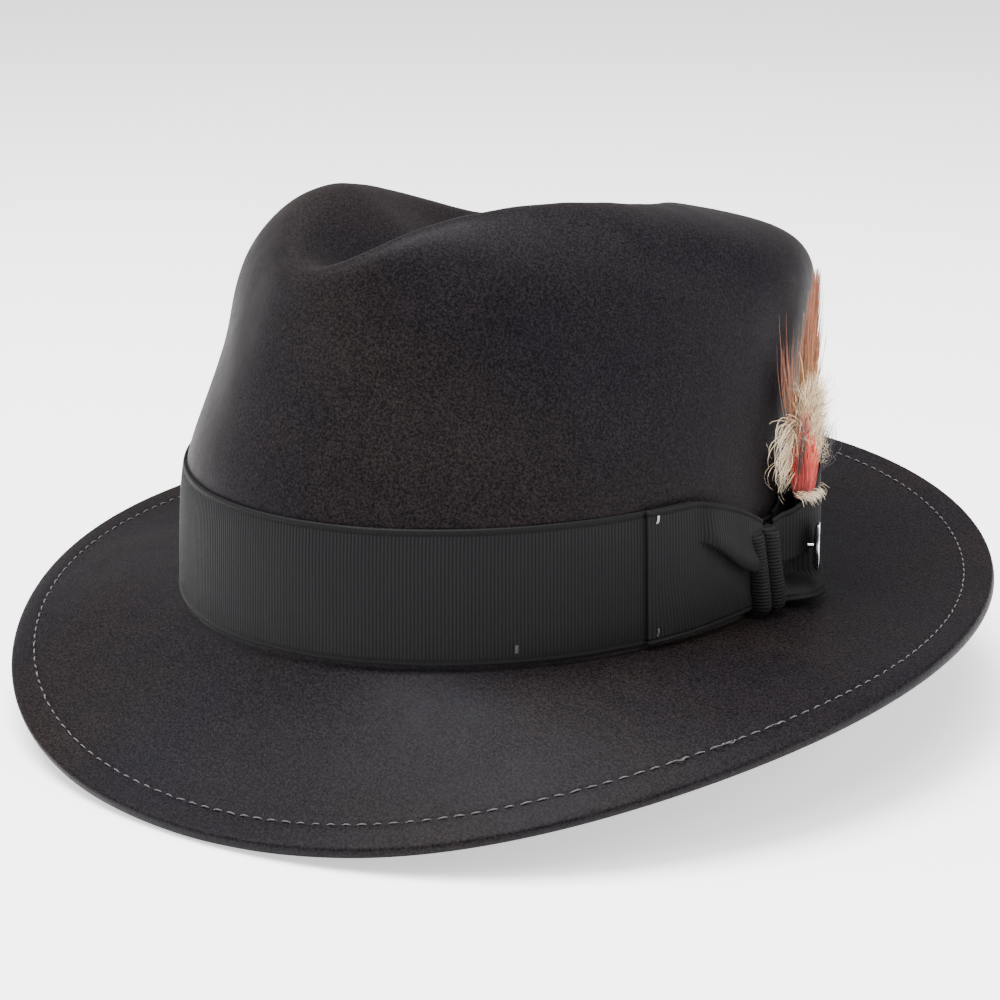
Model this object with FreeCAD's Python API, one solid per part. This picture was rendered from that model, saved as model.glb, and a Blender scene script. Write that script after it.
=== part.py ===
"""Fedora hat: a one-piece blocked felt with a teardrop crown and a snap brim,
a ribbon band with a side bow, a removable feather, a blank lapel pin, and the
leather sweatband and satin lining inside.  Millimetres, +Z up, the front of
the hat faces -Y and the bow is on the wearer's left, +X.  The origin is the
middle of the head opening at the height where the brim breaks from the crown."""
import FreeCAD
import Part
import math
import os
from FreeCAD import Vector

os.makedirs("parts", exist_ok=True)

# ---------------------------------------------------------------- dimensions
HALF_LENGTH = 104.5      # outside of the felt at the band, front to middle
HALF_WIDTH = 88.6        # outside of the felt at the band, side to middle
OVAL_EGG = 0.017         # how much wider the back of the oval is than the front
FELT = 2.0               # thickness of the felt
BRIM = 57.4              # width of the brim, 2 1/4 in
WELT = 10.5              # width of the folded-under edge
STITCH_IN = 8.5          # stitch line, in from the edge
BRIM_AT_CROWN = (-62.0, -16.0, -12.0, -6.0, 9.0)     # slope, degrees, every 45 from the front
BRIM_AT_EDGE = (-17.0, -32.0, 3.0, 12.0, 11.0)
RIDGE_MEAN = 108.0       # mean height of the crown ridge above the break
RIDGE_WAVES = ((3.8, 4.8), (-6.8, 0.6), (-1.0, 2.8))     # once, twice, three times round
DENT_DEPTH = 20.0        # teardrop dent below the mean ridge
PINCH_ANGLE = 0.84       # front pinches, radians round the oval from the front
LEFT_PINCH = (9.5, 79.0)     # depth and height of the pinch on the bow side
RIGHT_PINCH = (8.2, 71.2)
PINCH_SPREAD = 0.42
PINCH_TALL = 15.0
RIBBON_WIDTH = 38.0      # 1 1/2 in grosgrain
RIBBON_LOW = 1.6         # lower edge above the break
RIBBON = 0.6             # thickness of the ribbon
RIBBON_GAP = 0.25        # air between felt and ribbon
SWEAT_HEIGHT = 56.0
SWEAT = 1.2
SATIN = 0.35
FEATHER_TRAVEL = 30.0
AROUND = 96              # control points around every closed ring


def series(stations):
    """Cosine series that passes through values set every 45 degrees, front to back."""
    n = len(stations) - 1
    ends = (0, n)
    out = []
    for k in range(n + 1):
        c = sum(v * math.cos(math.pi * k * j / n) * (0.5 if j in ends else 1.0)
                for j, v in enumerate(stations))
        out.append(c * 2 / n * (0.5 if k in ends else 1.0))
    return out


def wave(values, t):
    return sum(v * math.cos(k * t) for k, v in enumerate(values))


ROOT_SERIES = series(BRIM_AT_CROWN)
EDGE_SERIES = series(BRIM_AT_EDGE)


def slope_in(t):
    return math.radians(wave(ROOT_SERIES, t))


def slope_gain(t):
    return math.radians(wave(EDGE_SERIES, t)) - slope_in(t)


def ridge_height(t):
    waves = enumerate(RIDGE_WAVES, 1)
    return RIDGE_MEAN + sum(c * math.cos(k * t) + s * math.sin(k * t) for k, (c, s) in waves)


def turn(a):
    return (a + math.pi) % (2 * math.pi) - math.pi


def ring_point(t, a, b, z, shift=0.0, egg=OVAL_EGG, pinch=1.0):
    g = 0.0
    for s, (depth, height) in ((1, LEFT_PINCH), (-1, RIGHT_PINCH)):
        round_it = math.exp(-0.5 * (turn(t - s * PINCH_ANGLE) / PINCH_SPREAD) ** 2)
        g += depth * pinch * round_it * math.exp(-0.5 * ((z - height) / PINCH_TALL) ** 2)
    x = b * math.sin(t) * (1 - egg * math.cos(t))
    y = -a * math.cos(t) + shift
    f = 1 - g / max(math.hypot(x, y), 1.0)
    return Vector(x * f, y * f, z)


def crown_profile(t):
    """Control points of the outside of the crown at one angle, break to middle."""
    top = ridge_height(t)
    k = top / 113.0
    a, b = HALF_LENGTH, HALF_WIDTH
    pts = [ring_point(t, a, b, 0.0)]
    for z, inset in ((1.5, 0.0), (6.0, 0.0), (12.0, 0.2), (22.0, 0.6), (32.0, 0.8), (42.0, 1.2)):
        pts.append(ring_point(t, a - inset, b - inset, z))
    pts.append(ring_point(t, 99.6, 87.5, 58.0, 1.1, 0.02))
    pts.append(ring_point(t, 97.4, 87.5, 76.0 * math.sqrt(k), 3.3, 0.06))
    pts.append(ring_point(t, 94.4, 86.4, 92.0 * k, 6.0, 0.10))
    pts.append(ring_point(t, 88.8, 77.0, 104.0 * k, 4.8, 0.18))
    ra, rb, back = 63.7, 46.5, -12.9
    pts.append(ring_point(t, ra + 5, rb + 8, top, back, 0.20))
    pts.append(ring_point(t, ra - 2, rb, top + 1.5, back, 0.20))
    pts.append(ring_point(t, ra - 10, rb - 9, top - 3.0, back, 0.20))
    pts.append(ring_point(t, ra - 22, rb - 20, top - 0.5 * DENT_DEPTH, back, 0.20, 0.5))
    floor = RIDGE_MEAN - DENT_DEPTH
    pts.append(ring_point(t, (ra - 30) * 0.7, (rb - 28) * 0.7, top - 0.9 * DENT_DEPTH, back, 0.20, 0.0))
    pts.append(ring_point(t, (ra - 30) * 0.3, (rb - 28) * 0.3, floor, back, 0.1, 0.0))
    pts.append(Vector(0, back, floor))
    return pts


def angles(n=AROUND):
    return [2 * math.pi * i / n for i in range(n)]


def oval_normal(t):
    e = 1e-4
    d = ring_point(t + e, HALF_LENGTH, HALF_WIDTH, 0.0) - ring_point(t - e, HALF_LENGTH, HALF_WIDTH, 0.0)
    n = Vector(d.y, -d.x, 0)
    n.normalize()
    return n


def brim_path(t, reach):
    """Distance out, height and slope of the top of the brim after a run of cloth."""
    steps = 24
    out = 0.0
    up = 0.0
    for i in range(steps):
        s = (i + 0.5) / steps * reach / BRIM
        ang = slope_in(t) + slope_gain(t) * s
        out += reach / steps * math.cos(ang)
        up += reach / steps * math.sin(ang)
    return out, up, slope_in(t) + slope_gain(t) * reach / BRIM


def brim_point(t, reach, lift=0.0):
    out, up, ang = brim_path(t, reach)
    base = ring_point(t, HALF_LENGTH, HALF_WIDTH, 0.0)
    n = oval_normal(t)
    h = out - lift * math.sin(ang)
    return base + n * h + Vector(0, 0, up + lift * math.cos(ang))


# ------------------------------------------------------------- shape helpers
def ring_surface(rows, degree=3):
    """Surface closed around the oval through rows of control points."""
    nu = len(rows[0])
    nv = len(rows)
    poles = [[row[i] for row in rows] for i in range(nu)]
    s = Part.BSplineSurface()
    uk = [float(i) for i in range(nu + 1)]
    vk = [float(i) for i in range(nv - degree + 1)]
    vm = [degree + 1] + [1] * (nv - degree - 1) + [degree + 1]
    s.buildFromPolesMultsKnots(poles, [1] * (nu + 1), vm, uk, vk, True, False, 3, degree)
    return s


def close_up(faces, name):
    comp = Part.makeCompound(faces)
    comp.sewShape(0.01)
    shells = comp.Shells
    solid = Part.Solid(shells[0])
    if solid.Volume < 0:
        solid.reverse()
    if len(shells) != 1 or not solid.isValid() or not shells[0].isClosed():
        print("CHECK", name, len(shells), solid.isValid(), shells[0].isClosed())
    return solid


def ring_solid(profile, name):
    """Closed profile of functions of t, swept around the oval with plain edges."""
    rows = [[f(t) for t in angles()] for f in profile]
    faces = [ring_surface([rows[i - 1], rows[i]], 1).toShape() for i in range(len(rows))]
    return close_up(faces, name)


def block(fn, nu, nv, name):
    """Solid between two sheets fn(a, b, 0) and fn(a, b, 1), a and b from 0 to 1."""
    sheets = []
    for c in (0.0, 1.0):
        grid = [[fn(i / nu, j / nv, c) for j in range(nv + 1)] for i in range(nu + 1)]
        s = Part.BSplineSurface()
        s.interpolate(grid)
        sheets.append(s)
    low, high = sheets
    faces = [low.toShape(), high.toShape()]
    u0, u1, v0, v1 = low.bounds()
    x0, x1, y0, y1 = high.bounds()
    pairs = ((low.uIso(u0), high.uIso(x0)), (low.uIso(u1), high.uIso(x1)),
             (low.vIso(v0), high.vIso(y0)), (low.vIso(v1), high.vIso(y1)))
    for p, q in pairs:
        faces.append(Part.makeRuledSurface(p.toShape(), q.toShape()))
    return close_up(faces, name)


def save(shape, name):
    shape.exportStep("parts/" + name + ".step")
    print(name, len(shape.Solids), round(shape.Volume, 1), shape.isValid())


# ------------------------------------------------------------------ the felt
def grid_offset(rows, d):
    """Rows moved along their own surface normals; the last row is a point."""
    out = []
    nr = len(rows)
    nu = len(rows[0])
    for j in range(nr):
        new = []
        for i in range(nu):
            if j == nr - 1:
                new.append(rows[j][i] + Vector(0, 0, d))
                continue
            along = rows[min(j + 1, nr - 1)][i] - rows[max(j - 1, 0)][i]
            across = rows[j][(i + 1) % nu] - rows[j][(i - 1) % nu]
            n = across.cross(along)
            n.normalize()
            new.append(rows[j][i] + n * d)
        out.append(new)
    return out


TS = angles()
PROFILES = [crown_profile(t) for t in TS]
crown_rows = [[p[j] for p in PROFILES] for j in range(len(PROFILES[0]))]
inner_rows = grid_offset(crown_rows, -FELT)


def inner_corner(t):
    ang = slope_in(t)
    base = ring_point(t, HALF_LENGTH, HALF_WIDTH, 0.0)
    return base - oval_normal(t) * FELT + Vector(0, 0, -FELT * (1 + math.sin(ang)) / math.cos(ang))


def felt_solid():
    reach_top = (1.5, 5.0, 11.0, 19.0, 27.0, 35.0, 42.0, 47.0, 50.0, 53.0, 55.5, 56.8)
    top = [[brim_point(t, r) for t in TS] for r in reach_top]
    thick = 2 * FELT
    edge = []
    for r, lift in ((57.4, -0.15), (57.7, -1.0), (57.7, -3.0), (57.4, -3.9)):
        edge.append([brim_point(t, r, lift) for t in TS])
    under = []
    for r, lift in ((56.5, -thick), (53.0, -thick), (49.5, -thick), (47.4, -thick),
                    (46.6, -thick + 0.2), (46.3, -3.0), (46.1, -2.1), (45.2, -FELT),
                    (42.0, -FELT), (35.0, -FELT), (27.0, -FELT), (19.0, -FELT),
                    (11.0, -FELT), (5.0, -FELT), (2.4, -FELT)):
        under.append([brim_point(t, r, lift) for t in TS])
    corner = [[inner_corner(t) for t in TS]]
    inner = [[Vector(p.x, p.y, q.z) for p, q in zip(a, b)] for a, b in zip(inner_rows[1:7], crown_rows[1:7])]
    rows = crown_rows[::-1] + top + edge + under + corner + inner + inner_rows[7:]
    s = ring_surface(rows)
    u0, u1, v0, v1 = s.bounds()
    n = len(crown_rows)
    cuts = [v0, float(n - 6), float(n + len(top)), float(n + len(top) + 8), float(n + len(top) + 24), v1]
    faces = []
    for lo, hi in zip(cuts[:-1], cuts[1:]):
        c = s.copy()
        c.segment(u0, u1, lo, hi)
        faces.append(c.toShape())
    return close_up(faces, "felt_body")


# ------------------------------------------ points on the wall of the crown
def blend_curve(poles, v):
    """Point on the clamped cubic through the control points at parameter v."""
    n = len(poles)
    last = n - 3
    v = min(max(v, 0.0), last - 1e-9)
    k = int(v) + 3
    knots = [0.0] * 4 + [float(i) for i in range(1, last)] + [float(last)] * 4
    d = [poles[j + k - 3] for j in range(4)]
    for r in range(1, 4):
        for j in range(3, r - 1, -1):
            i = j + k - 3
            den = knots[i + 4 - r] - knots[i]
            f = (v - knots[i]) / den if den > 0 else 0.0
            d[j] = d[j - 1] * (1 - f) + d[j] * f
    return d[3]


CACHE = {}


def wall(t, z, off=0.0):
    """Point on the outside of the felt wall at a height, moved out level by off."""
    key = (round(t, 6), round(z, 4))
    if key not in CACHE:
        poles = crown_profile(t)
        lo, hi = 0.0, 9.0
        for _ in range(40):
            mid = 0.5 * (lo + hi)
            if blend_curve(poles, mid).z < z:
                lo = mid
            else:
                hi = mid
        CACHE[key] = blend_curve(poles, lo)
    p = CACHE[key]
    n = oval_normal(t)
    return Vector(p.x + n.x * off, p.y + n.y * off, z)


def deg(a):
    return math.radians(a)


def at(z, off):
    """Ring point function on the wall, for swept profiles."""
    return lambda t: wall(t, z, off)


def tube_profile(centre, radius, sides=8):
    """Profile points round a centre given as (function of t, level normal, up)."""
    out = []
    for i in range(sides):
        a = 2 * math.pi * i / sides
        out.append(lambda t, a=a: centre(t) + oval_normal(t) * (radius * math.cos(a))
                   + Vector(0, 0, radius * math.sin(a)))
    return out


save(felt_solid(), "felt_body")

# --------------------------------------------------------- stitched brim edge
THREAD = 0.25
seam = BRIM - STITCH_IN
upper = ring_solid(tube_profile(lambda t: brim_point(t, seam, THREAD + 0.12), THREAD), "welt_stitching")
under_lift = -2 * FELT - THREAD - 0.12
lower = ring_solid(tube_profile(lambda t: brim_point(t, seam, under_lift), THREAD), "welt_under")
save(Part.makeCompound([upper, lower]), "welt_stitching")

# ----------------------------------------------------------------- the ribbon
RIBBON_TOP = RIBBON_LOW + RIBBON_WIDTH
BAND_DIP = 12.8          # the band is drawn down behind the bow


def ease(x):
    x = min(max(x, 0.0), 1.0)
    return x * x * (3 - 2 * x)


def band_point(level, off):
    """Ring point function at a fraction of the band's height."""
    def fn(t):
        d = math.degrees(t) % 360.0
        dip = BAND_DIP * ease((d - 74.0) / 15.0) * (1 - ease((d - 101.0) / 9.0))
        return wall(t, RIBBON_LOW + (RIBBON_WIDTH - dip) * level, off)
    return fn


levels = (0.0, 0.12, 0.28, 0.48, 0.75, 1.0)
inside = [band_point(k, RIBBON_GAP + (0.25 if k < 0.01 else 0.0)) for k in levels]
outside = [band_point(k, RIBBON_GAP + RIBBON + (0.25 if k < 0.01 else 0.0)) for k in levels]
save(ring_solid(outside + inside[::-1], "hatband_ribbon"), "hatband_ribbon")


def stitch_bar(t, z, off, tall=2.2, wide=0.5, deep=0.4):
    """Short upright tack stitch lying on the ribbon."""
    p = wall(t, z, off)
    bar = Part.makeBox(deep, wide, tall)
    bar.translate(Vector(0, -wide / 2, 0))
    n = oval_normal(t)
    bar.rotate(Vector(0, 0, 0), Vector(0, 0, 1), math.degrees(math.atan2(n.y, n.x)))
    bar.translate(p)
    return bar


BAND_FACE = RIBBON_GAP + RIBBON
tacks = [stitch_bar(deg(a), 4.6, BAND_FACE + 0.1) for a in (-48, 44, -134, 134)]
save(Part.makeCompound(tacks), "hatband_tacks")

# -------------------------------------------------------------------- the bow
BOW_START = 66.5         # degrees round the oval from the front
KNOT_START = 88.8
KNOT_END = 95.4
BOW_LOW = 1.9


def front_top(f):
    """Upper edge of the front loop: full height, drawn in at the knot."""
    g = max(0.0, (f - 0.35) / 0.65)
    return 39.9 - 10.5 * g ** 1.6


def front_loop(a, b, c):
    t = deg(BOW_START + (KNOT_START - 1.4 - BOW_START) * a)
    swell = 0.5 * math.sin(math.pi * b) * a
    low = BOW_LOW + 1.2 * a
    return wall(t, low + (front_top(a) - low) * b, 1.1 + 0.7 * c + swell)


def front_fold(a, b, c):
    f = 0.42 + 0.56 * a
    t = deg(BOW_START + (KNOT_START - 1.4 - BOW_START) * f)
    top = front_top(f) - 0.4
    low = 25.5 - 12.5 * a
    swell = 0.5 * math.sin(math.pi * (low + (top - low) * b - BOW_LOW) / 38.0) * f
    return wall(t, low + (top - low) * b, 2.15 + 0.7 * c + swell + 0.9 * math.sin(math.pi * b) * c)


def knot(a, b, c):
    t = deg(KNOT_START - 1.0 + (KNOT_END - KNOT_START) * a + 2.2 * (1 - b))
    crest = 6.2 + 1.2 * abs(math.sin(2 * math.pi * (0.5 * a + 0.02))) + 0.9 * math.sin(math.pi * a)
    rise = 0.8 * math.sin(math.pi * a)
    return wall(t, 1.6 + (24.2 + rise) * b, 1.1 + crest * c)


LOOP_START = 97.0        # rear loop, degrees round the oval
LOOP_END = 112.9
LOOP_ROOT = 4.6          # stand-off of the front layer where it leaves the knot
LOOP_BACK = 1.5          # stand-off of the back layer, on the band
LOOP_BELLY = 8.7         # how far the front layer bellies out at its foot
LOOP_CHEST = 6.1         # and higher up
LOOP_FLARE = 3.5         # height over which the foot flares
LOOP_TOP = (28.5, 38.8)  # top edge at the knot and past LOOP_RISE
LOOP_RISE = 9.5          # degrees


def rear_at(x, z):
    """Middle of the rear loop's ribbon: out from the knot, round the end and back."""
    y = 2.0 * x
    foot = math.exp(-max(z - 1.0, 0.0) / LOOP_FLARE)
    off = LOOP_BACK + (LOOP_ROOT - LOOP_BACK) * (1 - ease(y))
    if y < 1.2:
        belly = LOOP_CHEST + (LOOP_BELLY - LOOP_CHEST) * foot
        off += belly * math.sin(math.pi * (y / 1.2) ** 0.55) ** 2
    return wall(deg(rear_angle(x)), z, off)


def rear_angle(x):
    return LOOP_START + (LOOP_END - LOOP_START) * math.sin(math.pi * x)


def rear_grid(rows, cols, half):
    """Points of the loop, half a thickness in or out of its middle."""
    grid = []
    for i in range(cols + 1):
        x = i / cols
        rise = ease((rear_angle(x) - LOOP_START) / LOOP_RISE)
        top = LOOP_TOP[0] + (LOOP_TOP[1] - LOOP_TOP[0]) * rise
        line = []
        for j in range(rows + 1):
            z = 1.3 + (top - 1.3) * j / rows
            p = rear_at(x, z)
            d = rear_at(min(x + 0.004, 1.0), z) - rear_at(max(x - 0.004, 0.0), z)
            n = Vector(d.y, -d.x, 0)
            n.normalize()
            line.append(Vector(p.x + n.x * half, p.y + n.y * half, z))
        grid.append(line)
    return grid


def rear_loop_solid():
    sheets = []
    for half in (-0.3, 0.3):
        s = Part.BSplineSurface()
        s.interpolate(rear_grid(6, 44, half))
        sheets.append(s)
    low, high = sheets
    u0, u1, v0, v1 = low.bounds()
    x0, x1, y0, y1 = high.bounds()
    faces = [low.toShape(), high.toShape()]
    for p, q in ((low.uIso(u0), high.uIso(x0)), (low.uIso(u1), high.uIso(x1)),
                 (low.vIso(v0), high.vIso(y0)), (low.vIso(v1), high.vIso(y1))):
        faces.append(Part.makeRuledSurface(p.toShape(), q.toShape(), 1))
    return close_up(faces, "bow_rear_loop")


save(block(front_loop, 14, 8, "bow_front_loop"), "bow_front_loop")
save(block(front_fold, 10, 6, "bow_front_fold"), "bow_front_fold")
save(block(knot, 14, 8, "bow_knot"), "bow_knot")
loop = rear_loop_solid()

# ---------------------------------------------------------------- the lapel pin
PIN_ANGLE = deg(100.7)
PIN_Z = 17.2
PIN_TURN = deg(28.0)
pin_n = Vector(math.cos(PIN_TURN), math.sin(PIN_TURN), 0)
pin_at = wall(PIN_ANGLE, PIN_Z, 11.04)


def pin_oval(half_w, half_h, start, deep):
    """Oval plate facing outwards, start millimetres off the loop."""
    e = Part.Ellipse(Vector(0, 0, 0), half_h, half_w).toShape()
    plate = Part.Face(Part.Wire(e)).extrude(Vector(0, 0, deep))
    plate.rotate(Vector(0, 0, 0), Vector(0, 1, 0), 90)
    plate.rotate(Vector(0, 0, 0), Vector(0, 0, 1), math.degrees(math.atan2(pin_n.y, pin_n.x)))
    plate.translate(pin_at + pin_n * start)
    return plate


post_at = pin_at + Vector(-pin_n.y, pin_n.x, 0) * 1.7
hole = Part.makeCylinder(0.8, 3.6, post_at - pin_n * 3.2, pin_n)
loop = loop.cut(hole)
save(loop.Solids[0], "bow_rear_loop")
save(pin_oval(3.4, 7.4, 0.35, 1.3), "pin_back")
save(pin_oval(3.2, 7.1, 1.67, 0.4), "pin_face")
save(Part.makeCylinder(0.5, 4.32, post_at - pin_n * 4.0, pin_n), "pin_post")
clutch = Part.makeCylinder(1.1, 0.9, post_at - pin_n * 3.75, pin_n)
bore = Part.makeCylinder(0.56, 1.2, post_at - pin_n * 3.9, pin_n)
save(clutch.cut(bore), "pin_clutch")
bow_tacks = [stitch_bar(deg(67.8), 36.0, 2.0), stitch_bar(deg(67.8), 4.0, 2.0)]
save(Part.makeCompound(bow_tacks), "bow_tacks")

# ---------------------------------------------------------------- the feather
FEATHER_ANGLE = deg(104.0)
quill_foot = wall(FEATHER_ANGLE, 8.0, 4.0)
quill_head = wall(FEATHER_ANGLE, 82.0, 2.3)
up = quill_head - quill_foot
up.normalize()
out_n = oval_normal(FEATHER_ANGLE)
side = up.cross(out_n)
side.normalize()
face_n = side.cross(up)
face_n.normalize()


def leaf(start, length, half_width, low, deep, widest=0.45, lean=0.0):
    """Flat feather vane in the plane of the quill, low to low + deep off it."""
    pts = []
    n = 12
    for sgn in (1, -1):
        for i in range(n):
            f = i / n if sgn > 0 else 1 - i / n
            w = half_width * math.sin(math.pi * f ** (math.log(0.5) / math.log(widest))) ** 0.8
            along = start + length * f
            pts.append(quill_foot + up * along + side * (sgn * w + lean * f) + face_n * low)
    c = Part.BSplineCurve()
    c.interpolate(pts, PeriodicFlag=True)
    return Part.Face(Part.Wire(c.toShape())).extrude(face_n * deep)


quill = Part.makeCylinder(0.5, 46.0, quill_foot, up)
print("feather axis", [round(v, 5) for v in up])
save(quill, "feather_quill")
wrap_out = Part.makeCylinder(0.9, 9.0, quill_foot + up * 3.0, up)
wrap_in = Part.makeCylinder(0.56, 10.0, quill_foot + up * 2.5, up)
save(wrap_out.cut(wrap_in), "feather_binding")
save(leaf(49.0, 40.0, 8.0, -0.3, 0.6, 0.35, 1.5), "feather_rust_hackle")
save(leaf(27.0, 33.0, 10.0, 0.6, 2.3, 0.5), "feather_tan_down")
save(leaf(25.0, 19.0, 3.6, 3.0, 0.7, 0.5), "feather_red_tuft")
wisps = []
for s, w, length in ((9.2, 0.28, 26.0), (-9.2, 0.28, 24.0), (10.6, 0.22, 20.0)):
    foot = quill_foot + up * 32.0 + side * s + face_n * 4.4
    wisps.append(Part.makeCylinder(w, length, foot, up))
save(Part.makeCompound(wisps), "feather_dark_wisps")

# ----------------------------------------------------------------- the inside
REED_IN = 3.35
REED_Z = 1.05


def reed_centre(t):
    return wall(t, REED_Z, -REED_IN)


save(ring_solid(tube_profile(reed_centre, 0.62), "sweatband_reed"), "sweatband_reed")
tape = []
for r, order in ((1.1, 1), (0.8, -1)):
    arc = []
    for i in range(11):
        a = deg(-215 + 250 * i / 10.0)
        arc.append(lambda t, a=a, r=r: reed_centre(t) - oval_normal(t) * (r * math.cos(a))
                   + Vector(0, 0, r * math.sin(a)))
    tape += arc[::order]
save(ring_solid(tape, "reed_tape"), "reed_tape")

levels = (2.5, 6.0, 10.0, 16.0, 22.0, 28.0, 34.0, 40.0, 46.0, 50.0, 54.0, 2.5 + SWEAT_HEIGHT)
inner = [at(z, -4.3) for z in levels]
outer = [at(z, -4.3 + SWEAT) for z in levels]
save(ring_solid(outer + inner[::-1], "sweatband"), "sweatband")
stitching = ring_solid(tube_profile(lambda t: wall(t, 4.4, -4.62), 0.2), "sweatband_stitching")
save(stitching, "sweatband_stitching")


def strip(first, last, z0, z1, off0, off1):
    def fn(a, b, c):
        return wall(deg(first + (last - first) * a), z0 + (z1 - z0) * b, off0 + (off1 - off0) * c)
    return fn


save(block(strip(178.9, 181.1, 6.0, 54.0, -5.05, -4.65), 4, 8, "sweatband_rear_seam"), "sweatband_rear_seam")


def rear_bow(a, b, c):
    pinch = 0.35 + 0.65 * abs(2 * a - 1) ** 0.8
    z = 9.5 + 3.2 * pinch * (2 * b - 1)
    return wall(deg(174.5 + 11 * a), z, -5.35 - 1.0 * c)


save(block(rear_bow, 12, 4, "sweatband_bow"), "sweatband_bow")
save(block(strip(160.0, 171.0, 30.0, 42.0, -4.95, -4.65), 6, 4, "size_label"), "size_label")

TIP_Z = 74.0
levels = (36.0, 44.0, 50.0, 56.0, 62.0, 68.0, TIP_Z + 0.4)
inner = [at(z, -2.5 - SATIN) for z in levels]
outer = [at(z, -2.5) for z in levels]
save(ring_solid(outer + inner[::-1], "lining_side"), "lining_side")


def flat_disc(inset, z, deep):
    """Flat oval sheet following the wall at the lining tip."""
    c = Part.BSplineCurve()
    pts = [wall(t, TIP_Z, -inset) for t in angles(72)]
    c.interpolate([Vector(p.x, p.y, z) for p in pts], PeriodicFlag=True)
    return Part.Face(Part.Wire(c.toShape())).extrude(Vector(0, 0, deep))


save(flat_disc(3.2, TIP_Z, SATIN), "lining_tip")
save(ring_solid(tube_profile(lambda t: wall(t, TIP_Z - 0.95, -4.0), 0.7), "lining_piping"), "lining_piping")
save(flat_disc(16.0, TIP_Z - 0.5, 0.3), "tip_shield")
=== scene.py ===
"""Fedora hat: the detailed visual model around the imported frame.
Lengths are in millimetres until make() turns them into metres.  An angle t runs
round the oval from the front, and the bow is at +X, 90 degrees."""

import bpy
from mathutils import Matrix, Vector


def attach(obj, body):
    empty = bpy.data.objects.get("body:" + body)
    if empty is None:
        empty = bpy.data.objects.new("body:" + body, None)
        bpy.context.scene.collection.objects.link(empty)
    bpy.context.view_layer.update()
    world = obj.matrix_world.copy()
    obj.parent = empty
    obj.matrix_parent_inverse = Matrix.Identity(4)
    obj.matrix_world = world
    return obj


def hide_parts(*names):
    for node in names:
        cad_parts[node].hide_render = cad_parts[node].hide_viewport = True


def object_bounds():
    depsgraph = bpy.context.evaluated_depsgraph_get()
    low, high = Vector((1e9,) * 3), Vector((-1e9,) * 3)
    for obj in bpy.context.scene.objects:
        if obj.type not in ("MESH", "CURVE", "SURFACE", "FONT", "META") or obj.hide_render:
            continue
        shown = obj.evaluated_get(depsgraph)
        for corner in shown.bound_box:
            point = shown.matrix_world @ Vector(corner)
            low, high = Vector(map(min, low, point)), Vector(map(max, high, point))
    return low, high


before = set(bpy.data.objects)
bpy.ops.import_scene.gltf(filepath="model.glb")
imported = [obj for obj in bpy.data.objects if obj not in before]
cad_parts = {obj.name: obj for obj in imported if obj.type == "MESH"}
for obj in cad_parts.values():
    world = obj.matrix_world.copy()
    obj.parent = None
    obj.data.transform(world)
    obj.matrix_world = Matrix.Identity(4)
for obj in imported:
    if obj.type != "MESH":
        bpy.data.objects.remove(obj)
CAD_BOX = [[float(v) for v in c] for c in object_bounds()]

import bpy
import math
import numpy as np
from mathutils import Matrix, Vector

RNG = np.random.default_rng(7)
PI = math.pi

# ------------------------------------------------ the hat's own dimensions, mm
HALF_LENGTH, HALF_WIDTH, OVAL_EGG = 104.5, 88.6, 0.017
FELT, BRIM, STITCH_IN = 2.0, 57.4, 8.5
RIDGE_MEAN, DENT_DEPTH = 108.0, 20.0
RIDGE_WAVES = ((3.8, 4.8), (-6.8, 0.6), (-1.0, 2.8))     # once, twice, three times round
PINCH_ANGLE, LEFT_PINCH, RIGHT_PINCH = 0.84, (9.5, 79.0), (8.2, 71.2)
PINCH_SPREAD, PINCH_TALL = 0.42, 15.0
AROUND = 96              # control points round every closed ring
RIBBON_LOW, RIBBON_WIDTH = 1.6, 38.0
RIB = 1.03               # pitch of the grosgrain
BAND_DIP = 12.8          # how far the band is drawn down behind the bow
BOW_START, KNOT_START, KNOT_END, BOW_LOW = 66.5, 88.8, 95.4, 1.9     # angles in degrees
LOOP_START, LOOP_END = 97.0, 112.9   # rear loop, degrees round the oval
LOOP_ROOT, LOOP_BACK = 4.6, 1.5      # stand-off at the knot, and of the back layer
LOOP_BELLY, LOOP_CHEST = 8.7, 6.1    # bulge of the front layer at its foot, and higher up
LOOP_FLARE = 3.5                     # height over which the foot flares
LOOP_TOP = (28.5, 38.8)              # top edge at the knot, and LOOP_RISE degrees on
LOOP_RISE = 9.5
PIN_ANGLE, PIN_Z, PIN_OFF, PIN_TURN = 100.7, 17.2, 11.04, 28.0
PIN_HALF_WIDTH, PIN_HALF_HEIGHT = 3.4, 7.4
FEATHER_ANGLE = 104.0
FEATHER_FOOT, FEATHER_HEAD = (8.0, 4.0), (82.0, 2.3)     # height and stand-off
STITCH_PITCH, STITCH_LENGTH = 4.4, 2.65                  # brim edge
SWEAT_SEAM, SWEAT_PITCH = 4.4, 2.6                       # stitch row at the sweatband's foot
TIE_START, TIE_SPAN, TIE_Z = 174.5, 11.0, 9.5            # small bow inside, degrees, degrees, mm
CAMERA_AZIMUTH, CAMERA_ELEVATION = 35.93, 16.27
CAMERA_DISTANCE, CAMERA_LENS = 0.8226, 97.29             # metres, millimetres
CAMERA_AIM = (0.00088, 0.01943)                          # metres to the right, and up


def series(stations):
    """Cosine series that passes through values set every 45 degrees, front to back."""
    n = len(stations) - 1
    ends = (0, n)
    out = []
    for k in range(n + 1):
        c = sum(v * math.cos(math.pi * k * j / n) * (0.5 if j in ends else 1.0)
                for j, v in enumerate(stations))
        out.append(c * 2 / n * (0.5 if k in ends else 1.0))
    return out


def wave(values, t):
    return sum(v * np.cos(k * t) for k, v in enumerate(values))


ROOT_SERIES = series((-62.0, -16.0, -12.0, -6.0, 9.0))     # brim slope at the crown, degrees
EDGE_SERIES = series((-17.0, -32.0, 3.0, 12.0, 11.0))      # and at its edge


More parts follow.
